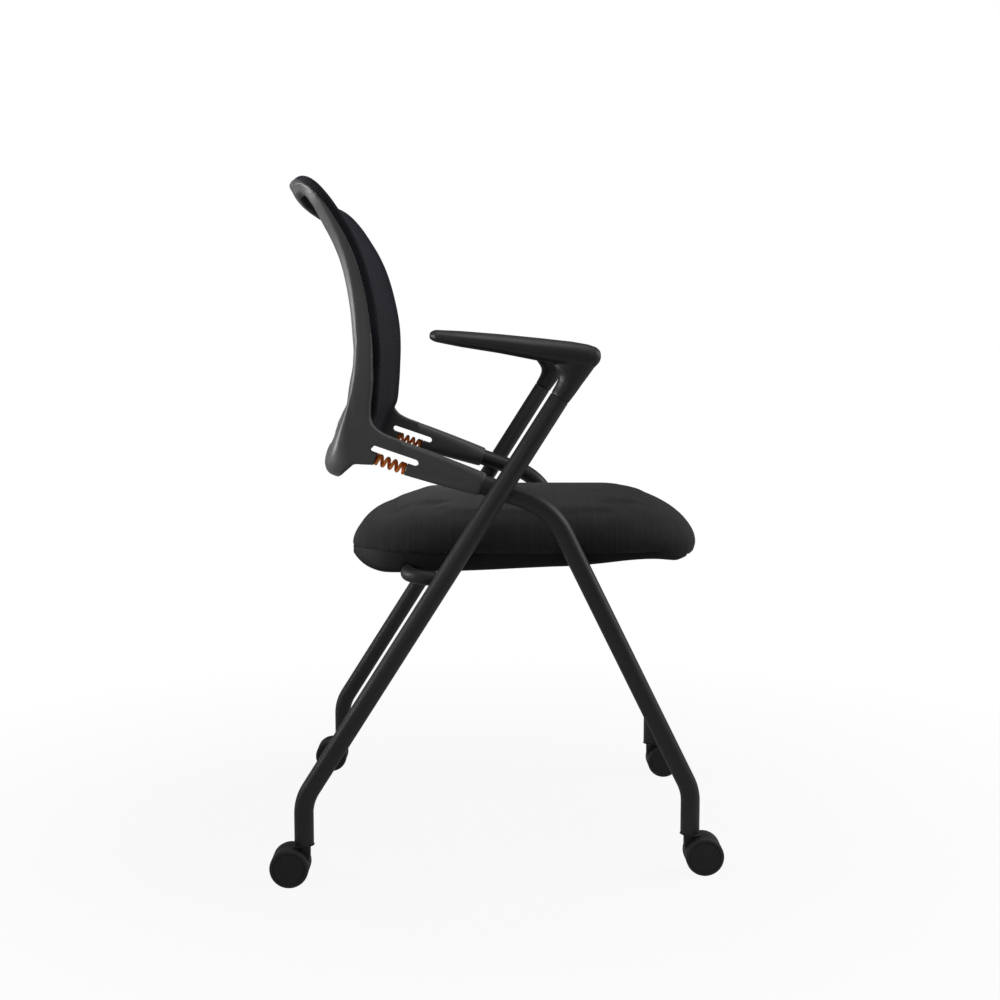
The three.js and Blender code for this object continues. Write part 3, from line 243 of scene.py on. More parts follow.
def back_knit(name):
    """Elastic ribbed mesh: blue-black cords across the back, with painted shade in the gaps between them and
    in the troughs of a fine stitch along them.
    """
    n = Nodes(name)
    along = n.add("SeparateXYZ", Vector=n.add("TexCoord").outputs["UV"]).outputs
    cord, stitch = (
        n.math("MULTIPLY_ADD", n.math("SINE", n.times(along[axis], 2 * pi * UV_UNIT / pitch)), 0.5, 0.5)
        for axis, pitch in (("Y", CORD_PITCH), ("X", STITCH_PITCH))
    )
    fine = n.cells(1500)
    drift = n.noise(20, 3)
    base = n.mix(n.spread(drift, 0.3, 0.7), tone(45, 1.3), tone(51, 1.36))
    # Painted shade: the troughs of the stitch wave, low in the bump, are mixed towards a darker tone.
    stitch_shaded = n.mix(n.times(n.spread(stitch, 0, 0.5, 1, 0), 0.35), base, tone(36, 1.25))
    # Painted shade: the gaps between the cords, where the cord wave is low in the bump, are mixed towards a
    # dark tone.
    color = n.mix(n.spread(cord, 0.1, 0.6, 0.75, 0), stitch_shaded, tone(20, 1.2))
    roughness = n.spread(fine, 0, 0.7, 0.55, 0.8)
    height = n.math("ADD", n.times(cord, 0.8), n.times(n.math("ADD", stitch, fine), 0.12))
    return n.surface(color, roughness, n.bump(height, 0.0006, 0.8), Specular_IOR_Level=0.08)


TREAD = grained_plastic("caster_tread", 24, 30, 1200, 0.00008, 0.58)
FINISHES = {
    "powder_coat": powder_coat("powder_coat", 15, 21),
    "back_plastic": grained_plastic("back_plastic", 72, 78, rough=0.44, worn=1.1),
    "arm_plastic": grained_plastic("arm_plastic", 17, 22, 1100, 0.00006, 0.5),
    "shell_plastic": grained_plastic("shell_plastic", 4, 6, 900, 0.0001, 0.66, gloss=0.28),
    "caster_plastic": grained_plastic("caster_plastic", 15, 19, 1600, 0.00005, 0.45, gloss=0.42),
    "zinc": steel("zinc"),
    "rubber": rubber("rubber"),
    "plywood": plywood("plywood"),
    "spring_steel": spring_coat("spring_steel"),
    "seat_fabric": seat_knit("seat_fabric"),
    "back_knit": back_knit("back_knit"),
}
for row in frame["record"]["subparts"]:
    solid = frame["nodes"][row["node"]].data
    solid.materials.clear()
    solid.materials.append(FINISHES[row["material_slot"]])


# Mesh helpers
MERGE = 0.00001


def clean(mesh, merge=0):
    """Turns the faces outward, and joins places that lie closer than merge."""
    built = bmesh.new()
    built.from_mesh(mesh)
    if merge:
        bmesh.ops.remove_doubles(built, verts=built.verts, dist=merge)
    bmesh.ops.recalc_face_normals(built, faces=built.faces)
    built.to_mesh(mesh)
    built.free()


def mesh_object(name, places, faces, finish):
    mesh = bpy.data.meshes.new(name)
    mesh.from_pydata([tuple(p) for p in places], [], faces)
    mesh.validate()
    clean(mesh)
    mesh.materials.append(FINISHES[finish])
    piece = bpy.data.objects.new(name, mesh)
    scene.collection.objects.link(piece)
    return smooth(piece)


def lofted(name, rings, finish, caps=True):
    return mesh_object(name, *loft(rings, caps=caps), finish)


def smooth(piece):
    piece.data.polygons.foreach_set("use_smooth", [True] * len(piece.data.polygons))
    return piece


def select(pieces):
    for o in bpy.context.selected_objects:
        o.select_set(False)
    for piece in pieces:
        piece.select_set(True)
    bpy.context.view_layer.objects.active = pieces[0]


def by_angle(piece, degrees):
    """Smooth shading that breaks at edges steeper than an angle."""
    select([smooth(piece)])
    bpy.ops.object.shade_smooth_by_angle(angle=radians(degrees))
    return piece


def joined(name, pieces):
    """Several pieces as one object, each kept as its own shell."""
    select(pieces)
    bpy.ops.object.join()
    pieces[0].name = name
    return pieces[0]


def modified(piece, kind, **settings):
    """The piece with one modifier set and applied."""
    modifier = piece.modifiers.new(kind.lower(), kind)
    for key, value in settings.items():
        setattr(modifier, key, value)
    old = piece.data
    graph = bpy.context.evaluated_depsgraph_get()
    mesh = bpy.data.meshes.new_from_object(piece.evaluated_get(graph))
    piece.modifiers.clear()
    piece.data = mesh
    bpy.data.meshes.remove(old)
    return piece


def rounded(piece, width, segments, degrees):
    """The piece with its sharp edges rounded."""
    limit = radians(degrees)
    return modified(piece, "BEVEL", width=width, segments=segments, limit_method="ANGLE", angle_limit=limit)


def cut(piece, cutter):
    """The piece less the cutter."""
    modified(piece, "BOOLEAN", operation="DIFFERENCE", solver="EXACT", object=cutter)
    bpy.data.objects.remove(cutter)


def stand_for(piece, *nodes):
    """Hides the solids that the piece stands for."""
    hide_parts(*nodes)


def finish_piece(piece, body, node, degrees=None):
    """Puts a piece on its body, in place of one solid."""
    if degrees:
        by_angle(piece, degrees)
    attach(piece, body)
    stand_for(piece, node)


def loft(rings, closed=False, caps=True):
    """Places and faces through rings of equal count."""
    count = len(rings[0])
    places = [p for ring in rings for p in ring]
    faces = []
    for r in range(len(rings) if closed else len(rings) - 1):
        near, far = r * count, (r + 1) % len(rings) * count
        for k in range(count):
            after = (k + 1) % count
            faces.append((near + k, near + after, far + after, far + k))
    if caps and not closed:
        faces += [tuple(range(count)), tuple(range(len(places) - count, len(places)))]
    return places, faces


def turned(name, profile, sides, finish, caps=True):
    """A piece turned about Z from a [radius, height] profile."""
    angles = [2 * pi * k / sides for k in range(sides)]
    rings = [[(radius * cos(a), radius * sin(a), height) for a in angles] for radius, height in profile]
    return lofted(name, rings, finish, caps)


def plate(name, outline, middle, half, finish):
    """A closed XZ outline with a thickness along Y."""
    return lofted(name, [[(x, y, z) for x, z in outline] for y in (middle - half, middle + half)], finish)


def arc(centre, radius, start, stop, steps):
    angles = [start + (stop - start) * i / steps for i in range(steps + 1)]
    return [(centre[0] + radius * cos(a), centre[1] + radius * sin(a)) for a in angles]


def power(value, exponent):
    return copysign(abs(value) ** exponent, value)


def soft_ring(centre, across, half_across, along, half_along, count, squareness):
    """A superellipse: round at squareness 2, and squarer above it."""
    ring = []
    for i in range(count):
        angle = 2 * pi * (i + 0.5) / count
        a, b = power(cos(angle), 2 / squareness), power(sin(angle), 2 / squareness)
        ring.append(Vector(centre) + Vector(across) * (half_across * a) + Vector(along) * (half_along * b))
    return ring


def run_and_bend(corners, radii, steps):
    """Points of a line of straight runs joined by round bends."""
    corners = [Vector(c) for c in corners]
    points = [corners[0]]
    for before, corner, after, radius in zip(corners, corners[1:], corners[2:], radii):
        into, out = (corner - before).normalized(), (after - corner).normalized()
        turn = into.angle(out)
        inward = (out - into * into.dot(out)).normalized()
        start = corner - into * (radius * tan(turn / 2))
        for step in range(steps + 1):
            angle = turn * step / steps
            points.append(start + into * (radius * sin(angle)) + inward * (radius * (1 - cos(angle))))
    return points + [corners[-1]]


def swept(points, tangents, radii, sides, across):
    """Round rings along points, none turned more than it must be."""
    rings = []
    angles = [2 * pi * k / sides for k in range(sides)]
    for p, tangent, r in zip(points, tangents, radii):
        across = (across - tangent * across.dot(tangent)).normalized()
        side = tangent.cross(across)
        rings.append([p + across * (r * cos(a)) + side * (r * sin(a)) for a in angles])
    return rings


def smooth_table(places, values, count):
    """Evenly stepped samples of a smooth curve through a table."""
    places, values = np.array(places, float), np.array(values, float)
    slopes = np.gradient(values, places)
    at = np.linspace(places[0], places[-1], count)
    k = np.clip(np.searchsorted(places, at) - 1, 0, len(places) - 2)
    h = places[k + 1] - places[k]
    t = (at - places[k]) / h
    return at, (
        (2 * t**3 - 3 * t**2 + 1) * values[k] + (t**3 - 2 * t**2 + t) * h * slopes[k]
        + (3 * t**2 - 2 * t**3) * values[k + 1] + (t**3 - t**2) * h * slopes[k + 1]
    )


def smoothstep(value, low, high):
    t = min(max((value - low) / (high - low), 0), 1)
    return t * t * (3 - 2 * t)


def moulded(piece, voxel):
    """Shells fused on a voxel grid, then relaxed so that they meet in soft fillets."""
    modified(piece, "REMESH", mode="VOXEL", voxel_size=voxel)
    return smooth(modified(piece, "SMOOTH", factor=0.5, iterations=6))


# Leg tubes
TUBE, BAR = 0.0125, 0.0095
WALL, LIP, MOUTH_DEPTH = 0.0015, 0.0006, 0.012
STEM_REACH, TUBE_END = 0.2512, 0.0527
REAR_TRACK, FRONT_TRACK, ARM_HALF, REST_HALF = 0.2683, 0.229, 0.247, 0.274
REAR_CORNER, FRONT_CORNER = 0.11, 0.1096
REST_X, REST_Z = 0.075, 0.625
KNEE_X, KNEE_Z = 0.0663, 0.4843
RISE = radians(19.1)
SOCKET_START, FRONT_REACH = 0.0929, 0.16
LOW_BEND, KNEE_BEND, BAR_BEND = 0.06, 0.09, 0.024
PIVOT = (-0.118, 0.398)
BAR_X, BAR_Z, BAR_GAP = -0.064, 0.391, 0.0003
REST_BAR_Z = 0.407


def arm_point(behind, over):
    """An XZ place by its distance up the back's arm from the socket's start, and over the arm's middle."""
    along = SOCKET_START + behind
    return (
        KNEE_X - along * cos(RISE) + over * sin(RISE),
        KNEE_Z + along * sin(RISE) + over * cos(RISE),
    )


def tube_piece(name, points, radius, node, sides=40):
    """A tube with a rounded lip at each end, open to its wall's inner face."""
    start, end = (points[1] - points[0]).normalized(), (points[-1] - points[-2]).normalized()
    mouth = ((MOUTH_DEPTH, WALL), (0, WALL), (0, LIP), (LIP * 0.3, LIP * 0.3), (LIP, 0))
    line = [points[0] + start * along for along, _ in mouth] + points[1:-1]
    line += [points[-1] - end * along for along, _ in reversed(mouth)]
    radii = [radius - less for _, less in mouth]
    radii += [radius] * (len(points) - 2) + radii[::-1]
    inner = range(len(mouth), len(line) - len(mouth))
    tangents = [(line[i + 1] - line[i - 1]).normalized() for i in inner]
    tangents = [start] * len(mouth) + tangents + [end] * len(mouth)
    across = Vector((0, 1, 0)) if abs(start.y) < 0.9 else Vector((0, 0, 1))
    piece = lofted(name, swept(line, tangents, radii, sides, across), "powder_coat", caps=False)
    finish_piece(piece, "frame", node, 40)


for hand, side in HANDS:
    rear_y, front_y, arm_y = side * REAR_TRACK, side * FRONT_TRACK, side * ARM_HALF
    rear = [(-STEM_REACH, rear_y, z) for z in (TUBE_END, REAR_CORNER)] + [(REST_X, side * REST_HALF, REST_Z)]
    tube_piece(f"rear_leg_{hand}", run_and_bend(rear, [LOW_BEND], 16), TUBE, f"rear_leg_tube_{hand}")
    end_x, end_z = arm_point(FRONT_REACH - SOCKET_START, 0)
    front = [(STEM_REACH, front_y, z) for z in (TUBE_END, FRONT_CORNER)]
    front += [(KNEE_X, arm_y, KNEE_Z), (end_x, arm_y, end_z)]
    front = run_and_bend(front, [LOW_BEND, KNEE_BEND], 18)
    tube_piece(f"front_leg_{hand}", front, TUBE, f"front_leg_tube_{hand}")
leg_share = (BAR_Z - REAR_CORNER) / (REST_Z - REAR_CORNER)
bar_out = REAR_TRACK + (REST_HALF - REAR_TRACK) * leg_share - TUBE - BAR - BAR_GAP
pivot_line = [(BAR_X, bar_out, BAR_Z), (PIVOT[0], bar_out, PIVOT[1])]
pivot_line += [(x, -y, z) for x, y, z in reversed(pivot_line)]
tube_piece("pivot_bar", run_and_bend(pivot_line, [BAR_BEND] * 2, 14), BAR, "rear_crossbar", 32)
rest_low, rest_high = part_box("front_crossbar")
REST_BAR = ((rest_low.x + rest_high.x) / 2, REST_BAR_Z)
rest_width = rest_high.y - rest_low.y
rest_line = [Vector((REST_BAR[0], rest_low.y + rest_width * i / 8, REST_BAR_Z)) for i in range(9)]
tube_piece("rest_bar", rest_line, BAR, "front_crossbar", 32)


# Casters, made with the stem on Z and the wheels trailing towards +X
TRAIL, WHEEL, TREAD_START = 0.018, 0.025, 0.0206
HUB_FACE, WHEEL_FACE = 0.0063, 0.0206
HUB, HUB_HALF, HUB_LOW, HUB_ROUND, NECK = 0.024, 0.006, 0.006, 0.0009, 0.00775
HUB_NECK = ((NECK, 0.0484), (-NECK, 0.0484), (-NECK, 0.0366), (-0.007, 0.034))
WHEEL_PROFILE = (
    (0, 0.0194), (0.004, 0.0195), (0.01, 0.0199), (0.0165, 0.0204), (0.0192, 0.0205), (0.0196, 0.0203),
    (0.0198, 0.0199), (0.0202, 0.0199), (0.0204, 0.0203), (0.0208, WHEEL_FACE), (0.0232, 0.0205),
    (0.0241, 0.0201), (0.0247, 0.0193), (WHEEL, 0.0181), (WHEEL, 0.0158), (WHEEL, 0.0111), (WHEEL, 0.0088),
    (0.0247, 0.0076), (0.0241, 0.0069), (0.0232, HUB_FACE), (0.0214, HUB_FACE), (0.021, 0.0066),
    (0.021, 0.0089), (0.008, 0.0089), (0.008, HUB_FACE), (0.0034, HUB_FACE), (0.0034, 0.0161), (0, 0.0161),
)
COLLAR_PROFILE = (
    (0.0043, 0.047), (NECK, 0.047), (NECK, 0.0501), (0.0074, 0.0507), (0.0068, 0.0509), (0.0043, 0.0509),
)
SOCKET_PROFILE = (
    (0.0046, 0.0512), (0.0108, 0.0512), (0.012, 0.0513), (0.0131, 0.0517), (0.0134, 0.0521), (0.0131, 0.0525),
    (0.0125, 0.0527), (0.0107, 0.0527), (0.0107, 0.093), (0.0046, 0.093), (0.0046, 0.0512),
)
STEM_PROFILE = (
    (0.0001, 0.034), (0.0037, 0.034), (0.004, 0.0343), (0.004, 0.0856), (0.0034, 0.086), (0.0032, 0.087),
    (0.0034, 0.088), (0.004, 0.0884), (0.004, 0.091), (0.0036, 0.0917), (0.003, 0.092), (0.0001, 0.092),
)
AXLE_PROFILE = (
    (0.0001, -0.0161), (0.0026, -0.0161), (0.003, -0.0157), (0.003, 0.0157), (0.0026, 0.0161),
    (0.0001, 0.0161),
)


def wheel_piece(name, wheel_side):
    """A wheel: tread with a rounded shoulder, a fine groove inside it, and a slightly dished disc."""
    piece = turned(name, WHEEL_PROFILE, 72, "caster_plastic", caps=False)
    clean(piece.data, MERGE)
    piece.data.materials.append(TREAD)
    for polygon in piece.data.polygons:
        if hypot(polygon.center.x, polygon.center.y) > TREAD_START:
            polygon.material_index = 1
    piece.data.transform(Matrix.Rotation(-wheel_side * pi / 2, 4, "X"))
    piece.data.transform(Matrix.Translation((TRAIL, 0, WHEEL)))
    return piece


def hood_piece(name):
    """The hub between the wheels, with the neck and collar that take the stem."""
    foot, neck = asin((WHEEL - HUB_LOW) / HUB), acos((NECK - TRAIL) / HUB)
    outline = arc((TRAIL, WHEEL), HUB, pi, pi + foot, 10) + arc((TRAIL, WHEEL), HUB, -foot, neck, 40)
    body = plate(name, [*outline, *HUB_NECK], 0, HUB_HALF, "caster_plastic")
    collar = turned(name + "_collar", COLLAR_PROFILE, 48, "caster_plastic", caps=False)
    return joined(name, [rounded(body, HUB_ROUND, 3, 50), collar])


for end, hand in CORNERS:
    forwards, track = (1, FRONT_TRACK) if end == "front" else (-1, REAR_TRACK)
    spot = Matrix.Translation((forwards * STEM_REACH, dict(HANDS)[hand] * track, 0))
    spot = spot @ Matrix.Rotation(0 if forwards > 0 else pi, 4, "Z")
    corner, caster = f"{end}_{hand}", f"caster_{end}_{hand}"
    for letter, wheel_side in (("a", 1), ("b", -1)):
        wheel = wheel_piece(f"wheel_{corner}_{letter}", wheel_side)
        wheel.data.transform(spot)
        finish_piece(wheel, f"wheel_{corner}_{letter}", f"caster_wheel_{corner}_{letter}", 30)
    hood = hood_piece(f"hood_{corner}")
    socket = turned(f"socket_{corner}", SOCKET_PROFILE, 48, "caster_plastic", caps=False)
    clean(socket.data, MERGE)
    stem = turned(f"stem_{corner}", STEM_PROFILE, 32, "zinc")
    axle = turned(f"axle_{corner}", AXLE_PROFILE, 32, "zinc")
    axle.data.transform(Matrix.Rotation(pi / 2, 4, "X"))
    axle.data.transform(Matrix.Translation((TRAIL, 0, WHEEL)))
    for kind, piece, body, degrees in (
        ("hood", hood, caster, 35), ("socket", socket, "frame", 40),
        ("stem", stem, caster, 30), ("axle", axle, caster, 30),
    ):
        piece.data.transform(spot)
        finish_piece(piece, body, f"caster_{kind}_{corner}", degrees)


# Armrests
PAD_BEHIND, PAD_LENGTH, PAD_HALF, PAD_TOP, PAD_DEPTH = 0.0869, 0.2129, 0.024, 0.7099, 0.0549
LENGTH_SHARES = (0, 0.006, 0.028, 0.038, 0.178, 0.411, 0.645, 0.832, 0.926, 0.973, 0.992, 1)
TOP_SHARES = (0.098, 0.049, 0.005, 0, 0.024, 0.095, 0.184, 0.264, 0.328, 0.388, 0.45, 0.51)
BOTTOM_SHARES = (0.19, 0.22, 0.268, 0.279, 0.388, 0.532, 0.709, 0.82, 0.87, 0.82, 0.74, 0.66)
WIDTH_SHARES = (0.3, 0.5, 0.74, 0.8, 1, 1, 0.96, 0.84, 0.72, 0.58, 0.45, 0.3)
PAD_EDGE_SHARE = 0.36
STEM_UP = (0.0004, 0.0012, 0.012, 0.02, 0.025, 0.028, 0.031, 0.044, 0.06)
STEM_REAR = (0.0124, 0.0127, 0.0132, 0.0146, 0.0178, 0.0228, 0.03, 0.03, 0.012)
STEM_FRONT = (0.0124, 0.0127, 0.0136, 0.0141, 0.0143, 0.0145, 0.0147, 0.0156, 0.0165)
STEM_SIDE = (0.0124, 0.0127, 0.0129, 0.0133, 0.0138, 0.0142, 0.0148, 0.016, 0.014)
SPIGOT, SPIGOT_UPS = 0.0107, (-0.055, -0.03, 0.001)
ARMREST_VOXEL = 0.0014
for hand, side in HANDS:
    pad_rings = []
    for share, top, bottom, width in zip(LENGTH_SHARES, TOP_SHARES, BOTTOM_SHARES, WIDTH_SHARES):
        high, low = PAD_TOP - PAD_DEPTH * top, PAD_TOP - PAD_DEPTH * bottom
        edge = low + PAD_EDGE_SHARE * (high - low)
        centre = (PAD_LENGTH * share - PAD_BEHIND, side * REST_HALF, edge)
        ring = soft_ring(centre, (0, 1, 0), PAD_HALF * width, (0, 0, 1), 1, 64, 2.3)
        for p in ring:
            p.z = edge + (p.z - edge) * (high - edge if p.z > edge else edge - low)
        pad_rings.append(ring)
    tube_end = Vector((REST_X, side * REST_HALF, REST_Z))
    heading = (tube_end - Vector((-STEM_REACH, side * REAR_TRACK, REAR_CORNER))).normalized()
    fore = Vector((0, 1, 0)).cross(heading).normalized()
    aside = heading.cross(fore).normalized()
    stem_rings = []
    for up, rear, front, wide in zip(STEM_UP, STEM_REAR, STEM_FRONT, STEM_SIDE):
        centre = tube_end + heading * up + fore * ((front - rear) / 2)
        stem_rings.append(soft_ring(centre, fore, (front + rear) / 2, aside, wide, 64, 2))
    spigot_places = [tube_end + heading * up for up in SPIGOT_UPS]
    spigot_rings = [soft_ring(centre, fore, SPIGOT, aside, SPIGOT, 32, 2) for centre in spigot_places]
    forms = (("pad", pad_rings), ("stem", stem_rings), ("spigot", spigot_rings))
    shells = [lofted(f"armrest_{form}_{hand}", rings, "arm_plastic") for form, rings in forms]
    armrest = moulded(joined(f"armrest_body_{hand}", shells), ARMREST_VOXEL)
    finish_piece(armrest, "frame", f"armrest_{hand}")


# Back: a side curve walked by distance from its foot, as a smooth curve through measured places
BACK_FRONT, BACK_SWEEP, BACK_LOW, BACK_RISE = 0.1505, 0.112, 0.528, 0.38
RISE_SHARES = (
    0, 0.084, 0.163, 0.203, 0.268, 0.347, 0.426, 0.534, 0.639, 0.725, 0.794, 0.853, 0.914, 0.966, 0.992, 1,
)
SWEEP_SHARES = (
    0.353, 0.25, 0.116, 0.05, 0.022, 0.004, 0, 0.027, 0.096, 0.182, 0.283, 0.4, 0.54, 0.7, 0.853, 1,
)
DEPTH_RISE = (0, 0.2, 0.275, 0.34, 0.45, 0.65, 0.8, 0.9, 1)
DEPTH_SHARES = (1, 1.1, 1.02, 0.82, 0.83, 0.6, 0.4, 0.15, 0)
CHAMFER_RISE = (0, 0.08, 0.13, 0.19, 0.26, 0.45, 0.64, 0.72, 0.8, 1)
CHAMFER_DEPTHS = (0.027, 0.027, 0.019, 0.009, 0.0055, 0.006, 0.008, 0.009, 0.011, 0.012)
CHAMFER_ACROSS = (0.024, 0.023, 0.018, 0.011, 0.008, 0.007, 0.007, 0.0075, 0.008, 0.01)
HALF_TOP, HALF_FOOT, CORNER_TOP, CORNER_FOOT = 0.251, 0.26, 0.062, 0.04
FOOT_LIFT, BOW, TANGENT_STEP = 0.012, 0.012, 0.004
RING_FRONT, RING_WIDTH, RING_DEPTH, RING_SWELL, TOP_SWELL = 0.0093, 0.026, 0.02, 0.017, 0.0065
NOSE_FRONT, RAIL_HEEL, RAIL_FULLER = 0.0138, 0.003, 0.0025
EDGE, BREAK = 0.0012, 0.0004


def curve_through(points, per_span):
    """A uniform cubic curve through points, as the solids' own side curve is."""
    found = []
    last = len(points) - 1
    for i in range(last):
        a, b, c, d = (np.array(points[min(max(i + k, 0), last)]) for k in (-1, 0, 1, 2))
        for step in range(per_span):
            t = step / per_span
            v0, v1 = (c - a) / 2, (d - b) / 2
            cubic, square = 2 * b - 2 * c + v0 + v1, -3 * b + 3 * c - 2 * v0 - v1
            found.append(cubic * t**3 + square * t**2 + v0 * t + b)
    return np.array([*found, np.array(points[-1])])


side_line = curve_through([
    (-(BACK_FRONT + BACK_SWEEP * sweep), BACK_LOW + BACK_RISE * rise)
    for rise, sweep in zip(RISE_SHARES, SWEEP_SHARES)
], 24)
side_steps = np.concatenate([[0], np.cumsum(np.linalg.norm(np.diff(side_line, axis=0), axis=1))])
BACK_LENGTH = side_steps[-1]


def side_place(distance):
    return np.array([np.interp(distance, side_steps, side_line[:, axis]) for axis in (0, 1)])


def back_half(share):
    return HALF_FOOT + (HALF_TOP - HALF_FOOT) * smoothstep(share, 0.2, 0.6)


def back_place(distance, across, depth):
    """A place on the back: distance up its side curve, distance across, and depth behind its front."""
    at = min(max(distance, 0), BACK_LENGTH)
    near, far = max(at - TANGENT_STEP, 0), min(at + TANGENT_STEP, BACK_LENGTH)
    heading = Vector(side_place(far) - side_place(near)).normalized()
    x, z = side_place(at) + np.array(heading) * (distance - at)
    bow = BOW * (at / BACK_LENGTH) ** 2 * (1 - min(abs(across) / HALF_TOP, 1) ** 2)
    return Vector((x - heading.y * depth - bow, across, z + heading.x * depth))


def ring_stations(corner_steps, side_count, rail_count):
    """The ring's outline once round, as distance up, distance across, inward up, inward across."""
    def corner(up_at, half_at, radius, start):
        angles = [start + pi / 2 * i / corner_steps for i in range(corner_steps + 1)]
        return [(up_at + radius * sin(a), half_at + radius * cos(a), -sin(a), -cos(a)) for a in angles]

    def rail(up, half, inward):
        return [(up, half * (1 - 2 * i / rail_count), inward, 0) for i in range(1, rail_count)]

    top_up, foot_up = BACK_LENGTH - CORNER_TOP, FOOT_LIFT + CORNER_FOOT
    top_half, foot_half = HALF_TOP - CORNER_TOP, HALF_FOOT - CORNER_FOOT
    ups = [foot_up + (top_up - foot_up) * i / side_count for i in range(1, side_count)]
    one_side = corner(foot_up, foot_half, CORNER_FOOT, -pi / 2)
    one_side += [(up, back_half(up / BACK_LENGTH), 0, -1) for up in ups]
    one_side += corner(top_up, top_half, CORNER_TOP, 0)
    other_side = [(up, -across, in_up, -in_across) for up, across, in_up, in_across in reversed(one_side)]
    return one_side + rail(BACK_LENGTH, top_half, -1) + other_side + rail(FOOT_LIFT, -foot_half, 1)


depth_at, depth_shares = smooth_table(DEPTH_RISE, DEPTH_SHARES, 80)


def nose_share(up):
    """0 on the sides, 1 on the top rail, whose front rolls over in a wide nose."""
    return smoothstep(up / BACK_LENGTH, 0.93, 0.985)


def back_ring():
    rings = []
    front, flat = RING_FRONT, RING_WIDTH - EDGE
    for up, across, in_up, in_across in ring_stations(18, 60, 40):
        share = up / BACK_LENGTH
        depth = RING_DEPTH + RING_SWELL * np.interp(share, depth_at, depth_shares)
        depth += TOP_SWELL * smoothstep(share, 0.955, 0.995)
        deep = min(np.interp(share, CHAMFER_RISE, CHAMFER_DEPTHS), depth - front - 0.002)
        wide = np.interp(share, CHAMFER_RISE, CHAMFER_ACROSS)
        nose = nose_share(up)
        lip = front + EDGE + (NOSE_FRONT - front - EDGE) * nose
        heel = RAIL_HEEL * smoothstep(share, 0.95, 1)
        inner = RING_WIDTH + RAIL_FULLER * smoothstep(share, 0.97, 1)
        section = (
            (0, lip), (BREAK + 0.0012 * nose, front + BREAK - 0.0007 * nose),
            (EDGE + 0.0034 * nose, front - 0.004 * nose), (flat, front), (RING_WIDTH, front + EDGE),
            (RING_WIDTH, (front + depth) / 2 - 0.001), (inner, depth - 0.0025 + heel),
            (inner - 0.001, depth - 0.0006 + heel), ((inner - 0.001 + wide) / 2, depth + heel * 0.62),
            (wide, depth - BREAK + heel * 0.2), (wide / 2, depth - deep * 0.47), (0, depth - deep),
            (0, (lip + depth - deep) / 2),
        )
        rings.append([back_place(up + in_up * t, across + in_across * t, behind) for t, behind in section])
    return mesh_object("back_ring", *loft(rings, closed=True), "back_plastic")


SLOT_OVER, SLOT_UNDER, SLOT_START, SLOT_END = 0.0031, 0.0065, 0.085, 0.15
BAY_START, BAY_END, BAY_OVER, BAY_UNDER = 0.098, 0.139, -0.002, -0.04
BORE_GAP, BORE_START, BORE_END, CUT_HALF = 0.0003, -0.02, 0.067, 0.03
SOCKET, ARM_OVER, ARM_UNDER, ARM_SIDE, ARM_END = 0.0152, 0.019, 0.021, 0.0135, 0.125
ARM_SHARES, ARM_GROWTH_SHARES = (0, 0.18, 0.46, 0.67, 0.86, 1), (0, 0.24, 0.55, 0.75, 0.9, 1)
TOE, RAIL_ROUND, FOOT_ROUND = (0.56, 0.6), 0.0455, 0.012
FOOT_INTO_ARM, FOOT_FILL, FOOT_FILL_OVER = 0.112, 0.13, 0.0192
FOOT_OUT_SHARES = (0, 0.3, 0.55, 0.66, 0.76, 0.86, 0.94, 1)
FOOT_REAR = (
    (-0.1835, 0.69), (-0.1848, 0.665), (-0.1868, 0.6477), (-0.1878, 0.6422), (-0.1905, 0.6264),
    (-0.1932, 0.6141), (-0.1976, 0.6), (-0.2045, 0.5859), (-0.2118, 0.5736), (-0.2192, 0.5594),
    (-0.223, 0.5488), (-0.224, 0.5417), (-0.2223, 0.533), (-0.2182, 0.5268), (-0.212, 0.524),
    (-0.2071, 0.5223), (-0.2014, 0.525), (-0.195, 0.532), (-0.185, 0.5411), (-0.1735, 0.5408),
)
FOOT_FACE = (
    (-0.179, 0.69), (-0.1805, 0.665), (-0.1822, 0.6475), (-0.1834, 0.642), (-0.1864, 0.6299),
    (-0.189, 0.62), (-0.1912, 0.609), (-0.1935, 0.599), (-0.1948, 0.59), (-0.1952, 0.578),
    (-0.1952, 0.57), (-0.1948, 0.564), (-0.1942, 0.559), (-0.1932, 0.555), (-0.192, 0.5515),
    (-0.1905, 0.548), (-0.188, 0.545), (-0.185, 0.543), (-0.18, 0.5416), (-0.1735, 0.5408),
)
FOOT_FRONT = (
    (-0.162, 0.69), (-0.16, 0.665), (-0.1596, 0.6475), (-0.1613, 0.6299), (-0.1632, 0.6123), (-0.1632, 0.6),
    (-0.1607, 0.5912), (-0.1546, 0.5841), (-0.147, 0.5795),
)
RAIL_MIDDLE = (
    (-0.1955, 0.535), (-0.199, 0.5298), (-0.203, 0.5243), (-0.2074, 0.5222), (-0.2123, 0.5238),
    (-0.2185, 0.5266), (-0.2226, 0.5318), (-0.2246, 0.5389), (-0.2243, 0.546), (-0.2215, 0.5566),
    (-0.2175, 0.5655), (-0.211, 0.569), (-0.203, 0.566), (-0.196, 0.56), (-0.1945, 0.548),
)
RAIL_END = (
    (-0.183, 0.544), (-0.1845, 0.5436), (-0.186, 0.5436), (-0.1875, 0.5445), (-0.1888, 0.5458),
    (-0.1903, 0.5478), (-0.1915, 0.55), (-0.1925, 0.5525), (-0.1932, 0.5555), (-0.194, 0.56),
    (-0.1942, 0.564), (-0.193, 0.5665), (-0.1905, 0.566), (-0.188, 0.561), (-0.185, 0.552),
)


def slot_outline():
    middle, radius = (SLOT_OVER - SLOT_UNDER) / 2, (SLOT_OVER + SLOT_UNDER) / 2
    ends = arc((SLOT_END - radius, middle), radius, -pi / 2, pi / 2, 16)
    ends += arc((SLOT_START + radius, middle), radius, pi / 2, pi * 3 / 2, 16)
    return [arm_point(behind, over) for behind, over in ends]


